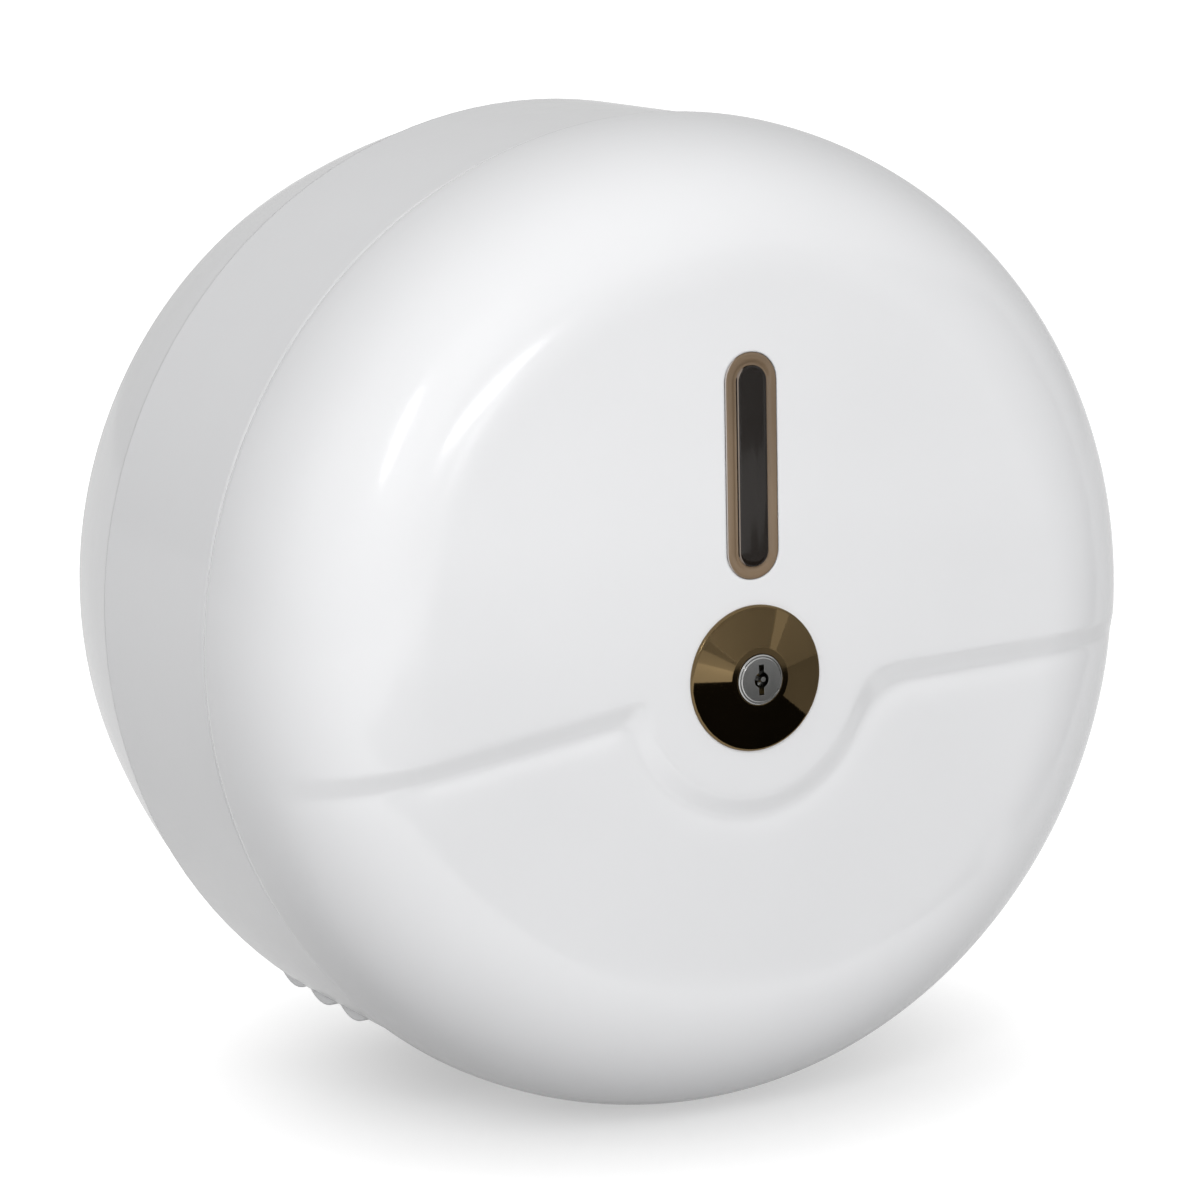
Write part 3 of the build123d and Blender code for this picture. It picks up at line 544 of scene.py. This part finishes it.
@dataclass
class Spindle(Fittings):
    """The post, its screws, the catch, the washer and the turning hub."""

    nodes: dict[str, Finish] = field(
        default_factory=lambda: {
            "spindle_post": GREY_FRAME,
            "post_screws": ZINC,
            "lock_catch": ZINC,
            "catch_screws": ZINC,
            "retaining_ring": ZINC,
            "hub_washer": NYLON_NATURAL,
            "roll_hub": WHITE_INNER,
        }
    )


@dataclass
class Relief:
    """The step in the face: below a line that dips round the lock, the face lies lower.

    Attributes:
        depth: how far the lower face lies behind the upper one.
        spread: how much wider the lower dome is at its rim.
        lock_z: the centre of the arc round the lock.
        arc: the arc's radius, at the middle of its slope.
        arc_width: the slope's width on the arc.
        arm_width: the slope's width on the two arms.
        left_z: the left arm's height beside the arc.
        left_from: how far out the left arm starts to fall.
        left_fall: how steeply it falls.
        right_z: the right arm's height at the middle of the face.
        right_rise: how steeply it rises.
        softness: how round the slope's top and foot are, in slope widths.
        corners: how round the arc's left and right corners are, in slope widths.
        hollow: how far the face dips past its full drop at the foot, as a share of it.
        hollow_reach: how far from the foot it dips most, in slope widths.
    """

    depth: float = 2.05 * MM
    spread: float = 0.6 * MM
    lock_z: float = LOCK_Z
    arc: float = 31.5 * MM
    arc_width: float = 4.3 * MM
    arm_width: float = 4.4 * MM
    left_z: float = -13.85 * MM
    left_from: float = 33.6 * MM
    left_fall: float = 0.139
    right_z: float = -13.5 * MM
    right_rise: float = 0.033
    softness: float = 0.12
    corners: tuple[float, float] = (0.7, 2.6)
    hollow: float = 0.15
    hollow_reach: float = 0.35

    def height(self, x: float, z: float) -> float:
        """Where a point of the face lies on the slope: -0.5 at its foot and 0.5 at its top."""
        inside = (self.arc - math.hypot(x, z - self.lock_z)) / self.arc_width
        if x < 0:
            line = self.left_z - self.left_fall * max(0.0, -x - self.left_from)
            corner, lean = self.corners[0], self.left_fall
        else:
            line = self.right_z + self.right_rise * x
            corner, lean = self.corners[1], self.right_rise
        above = (z - line) / self.arm_width / math.hypot(1.0, lean)
        overlap = max(corner - abs(inside - above), 0.0) / corner
        return max(inside, above) + overlap**2 * corner / 4

    def share(self, x: float, z: float) -> float:
        """How much of the full drop a point has: 0 above the slope and about 1 below it."""
        height = self.height(x, z)
        rise = math.hypot(height + 0.5, self.softness) - math.hypot(height - 0.5, self.softness)
        below = max(0.0, -0.5 - height) / self.hollow_reach
        return 0.5 - 0.5 * rise + self.hollow * below * math.exp(1.0 - below)


@dataclass
class Cover:
    """The domed cover, made as one shell with the relief worked into it.

    Attributes:
        radius: the outside radius at the rim.
        wall: the wall's thickness.
        face_radius: the radius of the flat face.
        face_y: where the face lies.
        parting_y: where the dome's curve would end.
        back_y: where the rim lies.
        fullness: how full the dome's shoulder is, as a share of each handle of its curve.
        relief: the step in the face.
        window_z: the height of the window's centre.
        window: the width, length and corner radius of the bezel's recess.
        slot: the same sizes of the hole through the recess.
        step: the recess's depth.
        roll: the length and depth over which the rim is drawn in.
        lock_hole: the radius of the lock's hole.
        hinge: the hinge pin's centre.
        knuckle: the knuckle's radius.
        knuckle_length: the knuckle's length.
        hinge_length: the length of the whole hinge.
        hinge_gap: the clearance round the hinge.
        pin_bore: the radius of the knuckle's bore.
        lug_root: how far inside the rim the lug starts.
        lug_reach: how far forward the lug runs on the dome.
        face_rings: how many rings of vertices the flat face has.
        dome_steps: how many steps the shoulder's curve has.
        roll_steps: how many steps the rolled rim has.
        coarse: the share of the outside's rings that the inside has, as one in so many.
    """

    radius: float = 123.5 * MM
    wall: float = 2.6 * MM
    face_radius: float = 86.4 * MM
    face_y: float = FACE_Y
    parting_y: float = -101.0 * MM
    back_y: float = -101.5 * MM
    fullness: float = 0.6
    relief: Relief = field(default_factory=Relief)
    window_z: float = WINDOW_Z
    window: tuple[float, float, float] = WINDOW_OPENING
    slot: tuple[float, float, float] = (8.24 * MM, 48.64 * MM, 3.9 * MM)
    step: float = 1.1 * MM
    roll: tuple[float, float] = (3.2 * MM, 0.85 * MM)
    lock_hole: float = 7.35 * MM
    hinge: tuple[float, float, float] = (126.3 * MM, -101.0 * MM, -5.0 * MM)
    knuckle: float = 3.0 * MM
    knuckle_length: float = 10.0 * MM
    hinge_length: float = 26.0 * MM
    hinge_gap: float = 0.5 * MM
    pin_bore: float = 1.33 * MM
    lug_root: float = 1.5 * MM
    lug_reach: float = 10.0 * MM
    face_rings: int = 108
    dome_steps: int = 44
    roll_steps: int = 8
    coarse: int = 6

    def build(self) -> None:
        """Make the shell and dress the clip inside it."""
        self.shell()
        dress_node("window_clip", GREY_FRAME)

    def angles(self) -> list[float]:
        """Angles round the dome, close together where the relief's two arms cross it."""
        bands = ((-34.0, 2.0, 0.3), (2.0, 178.0, 2.0), (178.0, 218.0, 0.3), (218.0, 326.0, 0.9))
        found: list[float] = []
        for start, end, pitch in bands:
            count = round((end - start) / pitch)
            found += [math.radians(start + (end - start) * k / count) for k in range(count)]
        return found

    def outline(self, radius: float, face_y: float, rim: float) -> list[tuple[float, float]]:
        """The dome's section as (radius, y) pairs from the middle of the face to the rim.

        Args:
            radius: the radius of the rim.
            face_y: where the face lies.
            rim: where the rim lies, in y.

        Returns:
            The points of the section.
        """
        flat = [(self.face_radius * k / self.face_rings, face_y) for k in range(1, self.face_rings)]
        reach = self.fullness * (radius - self.face_radius)
        rise = self.fullness * (self.parting_y - face_y)
        ends = (
            (self.face_radius, face_y),
            (self.face_radius + reach, face_y),
            (radius, self.parting_y - rise),
            (radius, self.parting_y),
        )
        curve = []
        for k in range(self.dome_steps + 1):
            t = k / self.dome_steps
            weights = ((1 - t) ** 3, 3 * t * (1 - t) ** 2, 3 * t * t * (1 - t), t**3)
            point = [sum(w * e[i] for w, e in zip(weights, ends)) for i in (0, 1)]
            if point[1] < rim:
                curve.append((point[0], point[1]))
        return flat + curve + [(curve[-1][0], rim)]

    def rolled(self, section: list[tuple[float, float]]) -> list[tuple[float, float]]:
        """Draw the last millimetres of a section in, so that the pan's rim shows behind them."""
        length, depth = self.roll
        found = [point for point in section if point[1] < self.back_y - length]
        radius = found[-1][0]
        shares = (k / self.roll_steps for k in range(1, self.roll_steps + 1))
        return found + [(radius - depth * t**2, self.back_y - length * (1 - t)) for t in shares]

    def dome_y(self, radius: float, face_y: float, rim_radius: float) -> float:
        """The y of a dome's skin at a radius, found by halving along its curve.

        Args:
            radius: where it is looked up.
            face_y: where the dome's face lies.
            rim_radius: the dome's radius at the rim.

        Returns:
            The y there.
        """
        low, high = 0.0, 1.0
        reach = self.fullness * (rim_radius - self.face_radius)
        rise = self.fullness * (self.parting_y - face_y)
        if radius <= self.face_radius:
            return face_y
        for _ in range(30):
            t = (low + high) / 2
            across = (
                (1 - t) ** 3 * self.face_radius
                + 3 * t * (1 - t) ** 2 * (self.face_radius + reach)
                + (3 * t * t * (1 - t) + t**3) * rim_radius
            )
            low, high = (t, high) if across < radius else (low, t)
        return (
            ((1 - t) ** 3 + 3 * t * (1 - t) ** 2) * face_y
            + 3 * t * t * (1 - t) * (self.parting_y - rise)
            + t**3 * self.parting_y
        )

    def drops(self, section: list[tuple[float, float]], rim_radius: float) -> list[float]:
        """How far the face's lower part lies behind each point of a section.

        Args:
            section: the section's (radius, y) points.
            rim_radius: its radius at the rim.

        Returns:
            One drop for each point, eased out at the rim.
        """
        soft = 0.4 * MM
        low_face = section[0][1] + self.relief.depth
        found = []
        for radius, y in section:
            low_y = self.dome_y(radius, low_face, rim_radius + self.relief.spread)
            gap = low_y - y
            blend = max(soft - abs(gap), 0.0) / soft
            found.append(max(gap, 0.0) + blend**2 * soft / 4 if radius > self.face_radius else gap)
        ease = 1.0 * MM
        near_rim = (min(1.0, max(0.0, (self.back_y - y) / ease)) for _, y in section)
        return [drop * share for drop, share in zip(found, near_rim)]

    def skin(self, sheet: bmesh.types.BMesh, inset: float) -> tuple[list, object]:
        """Add one side of the wall to a mesh.

        Args:
            sheet: the mesh that it is added to.
            inset: how far the skin lies inside the cover's outside.

        Returns:
            The rings of vertices, from the middle outwards, and the middle vertex.
        """
        face_y = self.face_y + inset
        section = self.outline(self.radius - inset, face_y, self.back_y)
        sparse = section[self.coarse - 1 :: self.coarse] + [section[-1]]
        section = sparse if inset else self.rolled(section)
        drops = self.drops(section, self.radius - inset)
        middle = sheet.verts.new((0.0, face_y, 0.0))
        rings = []
        for (radius, y), drop in zip(section, drops):
            ring = []
            for angle in self.angles():
                x, z = radius * math.cos(angle), radius * math.sin(angle)
                ring.append(sheet.verts.new((x, y + drop * self.relief.share(x, z), z)))
            rings.append(ring)
        return rings, middle

    def shell(self) -> bpy.types.Object:
        """The cover's wall with the relief, the window's slot, the lock's hole and a knuckle.

        Returns:
            The shell's object.
        """
        sheet = bmesh.new()
        outer, outer_middle = self.skin(sheet, 0.0)
        inner, inner_middle = self.skin(sheet, self.wall)
        for rings, middle, turn in ((outer, outer_middle, 1), (inner, inner_middle, -1)):
            count = len(rings[0])
            for k in range(count):
                after = (k + 1) % count
                sheet.faces.new((middle, rings[0][k], rings[0][after])[::turn])
                for near, far in zip(rings, rings[1:]):
                    sheet.faces.new((near[k], far[k], far[after], near[after])[::turn])
        for k in range(len(outer[0])):
            after = (k + 1) % len(outer[0])
            sheet.faces.new((outer[-1][k], inner[-1][k], inner[-1][after], outer[-1][after]))
        bmesh.ops.recalc_face_normals(sheet, faces=sheet.faces)
        shell = mesh_object("cover_dome", sheet)
        for cut in self.openings():
            carve(shell, cut, "DIFFERENCE")
        carve(shell, self.lug(), "UNION")
        carve(shell, self.hinge_post(self.pin_bore, 32), "DIFFERENCE")
        shell.data.shade_smooth()
        shell.data.set_sharp_from_angle(angle=math.radians(35.0))
        shell.data.materials.append(WHITE_SHELL.material())
        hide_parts("cover_shell")
        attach(shell, Body.COVER.value)
        LOG.info("made %s with %d faces", shell.name, len(shell.data.polygons))
        return shell

    def openings(self) -> Iterable[bpy.types.Object]:
        """Make one tool after the other: recess, slot, lock hole and the hinge's notch.

        Yields:
            Each tool.
        """
        before, through = self.face_y - 2 * MM, self.face_y + 6 * MM
        recess = rounded_slot(*self.window, self.window_z)
        yield slab(recess, before, self.face_y + self.step)
        yield slab(rounded_slot(*self.slot, self.window_z), before, through)
        yield slab(ring_points(self.lock_hole, 64, 0.0, self.relief.lock_z), before, through)
        yield self.hinge_post(self.knuckle + self.hinge_gap, 32)

    def hinge_post(self, radius: float, edges: int) -> bpy.types.Object:
        """A round post on the hinge's axis, a little longer than the hinge.

        Args:
            radius: its radius.
            edges: how many edges its circle has.

        Returns:
            The post.
        """
        x, y, z = self.hinge
        half = self.hinge_length / 2 + self.hinge_gap
        return post(ring_points(radius, edges, x, y), z - half, z + half)

    def lug(self) -> bpy.types.Object:
        """The lug from the dome's skin to the hinge knuckle, as one upright block."""
        x, y, z = self.hinge
        root = self.radius - self.lug_root
        front = y - self.hinge_gap
        low, high = z - self.knuckle_length / 2, z + self.knuckle_length / 2
        profile = [(root, front), (x, front), (x + self.knuckle, front), (root, y - self.lug_reach)]
        body = post(profile, low, high)
        carve(body, post(ring_points(self.knuckle, 40, x, y), low, high), "UNION")
        return body


@dataclass
class Window:
    """The sight window: a tinted bezel in the cover's recess round a raised dark pane.

    Attributes:
        face_y: where the cover's face lies.
        centre_z: the height of the window's centre.
        opening: the recess's width, length and corner radius.
        bezel: the bezel's section as (inset, rise) pairs, in millimetres.
        pane: the pane's section, going on from it.
        inside: the section behind, from the bezel's back edge inwards.
    """

    face_y: float = FACE_Y
    centre_z: float = WINDOW_Z
    opening: tuple[float, float, float] = WINDOW_OPENING
    bezel: tuple[tuple[float, float], ...] = (
        (0.12, -1.05), (0.12, -0.1), (0.2, 0.12), (0.42, 0.3), (0.75, 0.36), (1.7, 0.3),
        (2.1, 0.22), (2.35, 0.05), (2.6, -0.05), (2.95, -0.05), (3.16, 0.05),
    )
    pane: tuple[tuple[float, float], ...] = (
        (3.2, 0.5), (3.3, 0.72), (3.5, 0.86), (3.8, 0.9), (4.6, 0.93), (6.0, 0.95),
    )
    inside: tuple[tuple[float, float], ...] = (
        (3.2, -1.05), (3.2, -5.0), (4.8, -5.0), (4.8, -0.7),
    )

    def build(self) -> None:
        """Make the lens from loops set in from the slot's outline."""
        shape = bmesh.new()
        front = [self.loop(shape, *at) for at in self.bezel + self.pane]
        back = [self.loop(shape, *at) for at in (self.bezel[0], *self.inside)]
        split = len(self.bezel)
        rim, smoke = 0, 1
        for loops, tint in ((front[:split], rim), (front[split - 1 :], smoke), (back, smoke)):
            for near, far in zip(loops, loops[1:]):
                for k, vert in enumerate(near):
                    after = (k + 1) % len(near)
                    face = shape.faces.new((vert, near[after], far[after], far[k]))
                    face.material_index = tint
        for last in (front[-1], back[-1]):
            shape.faces.new(last).material_index = smoke
        bmesh.ops.remove_doubles(shape, verts=shape.verts, dist=0.001 * MM)
        bmesh.ops.recalc_face_normals(shape, faces=shape.faces)
        lens = mesh_object("sight_window", shape)
        lens.data.materials.append(SMOKE_RIM.material())
        lens.data.materials.append(SMOKE.material())
        lens.data.shade_smooth()
        lens.data.set_sharp_from_angle(angle=math.radians(50.0))
        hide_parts("window_lens")
        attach(lens, Body.COVER.value)
        LOG.info("made %s", lens.name)

    def loop(self, shape: bmesh.types.BMesh, inset: float, rise: float) -> list:
        """One loop of vertices.

        Args:
            shape: the mesh that it is added to.
            inset: how far it lies inside the slot's outline, in millimetres.
            rise: how far it stands in front of the face, in millimetres.

        Returns:
            Its vertices.
        """
        width, length, corner = self.opening
        edge = inset * MM
        points = rounded_slot(width - 2 * edge, length - 2 * edge, corner - edge, self.centre_z)
        return [shape.verts.new((x, self.face_y - rise * MM, z)) for x, z in points]


@dataclass
class Lock(Fittings):
    """The cam lock: rosette, body and nut on the cover; plug, wafers and cam inside."""

    nodes: dict[str, Finish] = field(
        default_factory=lambda: {
            "lock_rosette": BRONZE,
            "lock_body": NICKEL,
            "lock_washer": ZINC,
            "lock_nut": ZINC,
            "lock_plug": NICKEL,
            "key_guide_pin": NICKEL,
            "lock_wafers": BRASS,
            "lock_cam": ZINC,
            "cam_washer": ZINC,
            "cam_screw": ZINC,
        }
    )


@dataclass(frozen=True)
class Card:
    """A matte card beside the camera, lying on the floor or standing.

    Attributes:
        name: its name.
        grey: its grey.
        place: its centre.
        half: half its width and half its depth or height.
        turn: how far it is turned about z, in degrees.
        upright: whether it stands.
    """

    name: str
    grey: float
    place: tuple[float, float, float]
    half: tuple[float, float]
    turn: float = 0.0
    upright: bool = False


CARDS = (
    Card("card_black", 0.02, (0.036, -0.524, -0.1228), (0.2475, 0.215), 26.6),
    Card("card_right", 0.42, (0.6, -0.525, -0.1232), (0.4, 0.325)),
    Card("card_beside", 0.70, (0.713, -0.513, 0.115), (0.323, 0.235), 63.0, True),
    Card("card_ahead", 0.92, (0.452, -1.098, 0.14), (0.214, 0.26), 25.5, True),
    Card("card_above", 0.88, (0.037, -1.199, 0.225), (0.22, 0.27), 2.0, True),
)


@dataclass(frozen=True)
class Lamp:
    """An oval lamp that faces the middle of the object.

    Attributes:
        name: its name.
        towards: the direction from the object to it.
        distance: how far away it is.
        size: its height and width.
        watts: its power.
        mirrored: whether glossy pieces show it.
    """

    name: str
    towards: tuple[float, float, float]
    distance: float
    size: tuple[float, float]
    watts: float
    mirrored: bool = False


LAMPS = (
    Lamp("key", (-0.38, -0.78, 0.50), 1.6, (1.1, 0.9), 8.4),
    Lamp("fill", (0.08, -0.99, -0.1), 1.3, (0.9, 0.9), 3.5),
    Lamp("side", (-0.84, -0.1, 0.55), 1.6, (0.9, 0.9), 3.0),
    Lamp("streak_left", (-0.54, -0.66, 0.46), 1.25, (0.34, 0.05), 1.1, True),
    Lamp("streak_inner", (0.03, -0.96, 0.22), 1.25, (0.06, 0.36), 1.5, True),
    Lamp("streak_front", (0.142, -0.985, 0.085), 1.35, (0.20, 0.045), 0.3, True),
)


@dataclass
class Studio:
    """The pale floor, the soft light and the camera.

    Attributes:
        floor_z: the floor's height, just under the drum.
        floor_size: its width.
        floor_color: its two near-equal greys.
        floor_glow: the glow that the camera sees in it, near the object and far from it; the weaker
            glow near the object paints extra shadow round it.
        painted_shadow_reach: the distances between which the glow grows, from the painted shadow to
            full white.
        floor_mirrored: the share of the glow that glossy pieces show.
        under_y: the y of the drum's middle, about which the glow grows and the painted shadow is
            centred.
        ambient: the world's strength as light.
        mirrored: its strength in glossy pieces, behind and in front.
        yaw: the camera's angle round the object, in degrees.
        pitch: how far it looks down.
        roll: how far it is tilted.
        lens: its focal length in millimetres.
        distance: how far it is from the aim.
        aim: the point it looks at.
        slide: how far it is moved right and up.
    """

    floor_z: float = -0.1238
    floor_size: float = 24.0
    floor_color: tuple[float, float] = (0.46, 0.44)
    # Glow near and far: the low near value paints extra shadow round the drum.
    floor_glow: tuple[float, float] = (0.47, 1.0)
    painted_shadow_reach: tuple[float, float] = (0.03, 0.18)
    floor_mirrored: float = 0.62
    under_y: float = -0.08
    ambient: float = 0.50
    mirrored: tuple[float, float] = (0.8, 1.0)
    yaw: float = -28.535
    pitch: float = 10.793
    roll: float = -1.164
    lens: float = 141.3
    distance: float = 1.18956
    aim: tuple[float, float, float] = (0.0, -0.075, 0.0)
    slide: tuple[float, float] = (-0.00155, -0.00159)

    def build(self) -> None:
        """Make the floor, the world, the lamps and the camera."""
        self.floor()
        self.cards()
        self.world()
        for lamp in LAMPS:
            self.lamp(lamp)
        self.camera()

    def plane(self, name: str, low: tuple, high: tuple, z: float) -> bpy.types.Object:
        """A level rectangle that isn't part of the object."""
        mesh = bpy.data.meshes.new(name)
        (left, near), (right, far) = low, high
        corners = [(left, near, z), (right, near, z), (right, far, z), (left, far, z)]
        mesh.from_pydata(corners, [], [(0, 1, 2, 3)])
        plane = bpy.data.objects.new(name, mesh)
        bpy.context.scene.collection.objects.link(plane)
        return plane

    def floor(self) -> None:
        """A pale floor that keeps the object's real shadow and is white beyond it; its glow is
        weaker near the drum, which paints extra shadow there.
        """
        half = self.floor_size / 2
        floor = self.plane("floor", (-half, -half), (half, half), self.floor_z)
        material = bpy.data.materials.new("floor_white")
        tree = Tree(material)
        grain = tree.noise(scale=30.0)
        pale, paler = ((grey,) * 3 for grey in self.floor_color)
        tree.set("Base Color", tree.blend(grain, pale, paler))
        tree.set("Roughness", 0.9)
        tree.set("Specular IOR Level", 0.0)
        path = tree.node("ShaderNodeLightPath", {}, {})
        seen = Value(tree, path.outputs["Is Camera Ray"]).at_least(
            Value(tree, path.outputs["Is Transmission Ray"])
        ).at_least(self.floor_mirrored * Value(tree, path.outputs["Is Glossy Ray"]))
        # Painted shadow: the camera's glow is weaker near the drum's middle, so the floor round it
        # is darker than its lamps alone make it.
        reach = (tree.axis("X") ** 2 + (tree.axis("Y") - self.under_y) ** 2) ** 0.5
        near, far = self.floor_glow
        glow_with_painted_shadow = near + (far - near) * reach.ramp(*self.painted_shadow_reach)
        glow = tree.node(
            "ShaderNodeEmission", {}, {"Color": (1.0, 1.0, 1.0), "Strength": seen * glow_with_painted_shadow}
        )
        both = tree.node(
            "ShaderNodeAddShader", {}, {0: tree.shader.outputs[0], 1: glow.outputs[0]}
        )
        tree.feed(tree.output.inputs["Surface"], both.outputs[0])
        floor.data.materials.append(material)

    def cards(self) -> None:
        """Cards out of view that only the plated and glossy pieces mirror."""
        for card in CARDS:
            low = (-card.half[0], -card.half[1])
            plane = self.plane(card.name, low, card.half, 0.0)
            tilt = math.radians(90.0) if card.upright else 0.0
            plane.rotation_euler = (tilt, 0.0, math.radians(card.turn))
            plane.location = card.place
            plane.visible_camera = False
            plane.visible_diffuse = False
            plane.visible_shadow = False
            material = bpy.data.materials.new(card.name)
            tree = Tree(material)
            nap = tree.noise(scale=200.0)
            tree.set("Base Color", tree.blend(nap, (card.grey,) * 3, (card.grey * 1.04,) * 3))
            tree.set("Roughness", 0.9)
            tree.set("Specular IOR Level", 0.0)
            plane.data.materials.append(material)

    def world(self) -> None:
        """A white world for the camera, and one that is darker behind for light and gloss."""
        world = bpy.data.worlds.new("studio")
        bpy.context.scene.world = world
        tree = Tree(world, "ShaderNodeBackground", "ShaderNodeOutputWorld")
        path = tree.node("ShaderNodeLightPath", {}, {})
        seen = Value(tree, path.outputs["Is Camera Ray"]).at_least(
            Value(tree, path.outputs["Is Transmission Ray"])
        )
        gloss = Value(tree, path.outputs["Is Glossy Ray"])
        way = tree.node("ShaderNodeTexCoord", {}, {}).outputs["Generated"]
        back = Value(tree, tree.node("ShaderNodeSeparateXYZ", {}, {0: way}).outputs["Y"])
        front = 1.0 - back.ramp(-0.3, 0.5)
        behind, ahead = self.mirrored
        mirrored = behind + (ahead - behind) * front
        unseen = self.ambient + gloss * (mirrored - self.ambient)
        tree.set("Strength", unseen + seen * (1.0 - unseen))

    def lamp(self, lamp: Lamp) -> None:
        """Put one lamp in its place."""
        data = bpy.data.lights.new(lamp.name, "AREA")
        data.shape = "ELLIPSE"
        data.size_y, data.size = lamp.size
        data.energy = lamp.watts
        light = bpy.data.objects.new(lamp.name, data)
        bpy.context.scene.collection.objects.link(light)
        away = Vector(lamp.towards).normalized()
        light.location = Vector(self.aim) + away * lamp.distance
        light.rotation_euler = away.to_track_quat("Z", "Y").to_euler()
        light.visible_glossy = lamp.mirrored

    def camera(self) -> None:
        """A camera at the photograph's viewing angle."""
        yaw, pitch, roll = (math.radians(a) for a in (self.yaw, self.pitch, self.roll))
        back = Vector(
            (math.sin(yaw) * math.cos(pitch), -math.cos(yaw) * math.cos(pitch), math.sin(pitch))
        )
        level_right = (-back).cross(Vector((0.0, 0.0, 1.0))).normalized()
        level_up = level_right.cross(-back)
        right = math.cos(roll) * level_right + math.sin(roll) * level_up
        up = math.cos(roll) * level_up - math.sin(roll) * level_right
        place = Vector(self.aim) + back * self.distance + right * self.slide[0] + up * self.slide[1]
        data = bpy.data.cameras.new("camera")
        data.sensor_width = 36.0
        data.lens = self.lens
        camera = bpy.data.objects.new("camera", data)
        bpy.context.scene.collection.objects.link(camera)
        turned = Matrix((right, up, back)).transposed().to_4x4()
        camera.matrix_world = Matrix.Translation(place) @ turned
        bpy.context.scene.camera = camera


def main() -> None:
    logging.basicConfig(level=logging.INFO)
    bpy.context.scene.view_settings.view_transform = "Standard"
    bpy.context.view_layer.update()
    for assembly in (Drum(), Spindle(), Cover(), Window(), Lock(), Studio()):
        assembly.build()
        LOG.info("built %s", type(assembly).__name__)


if __name__ == "__main__":
    main()
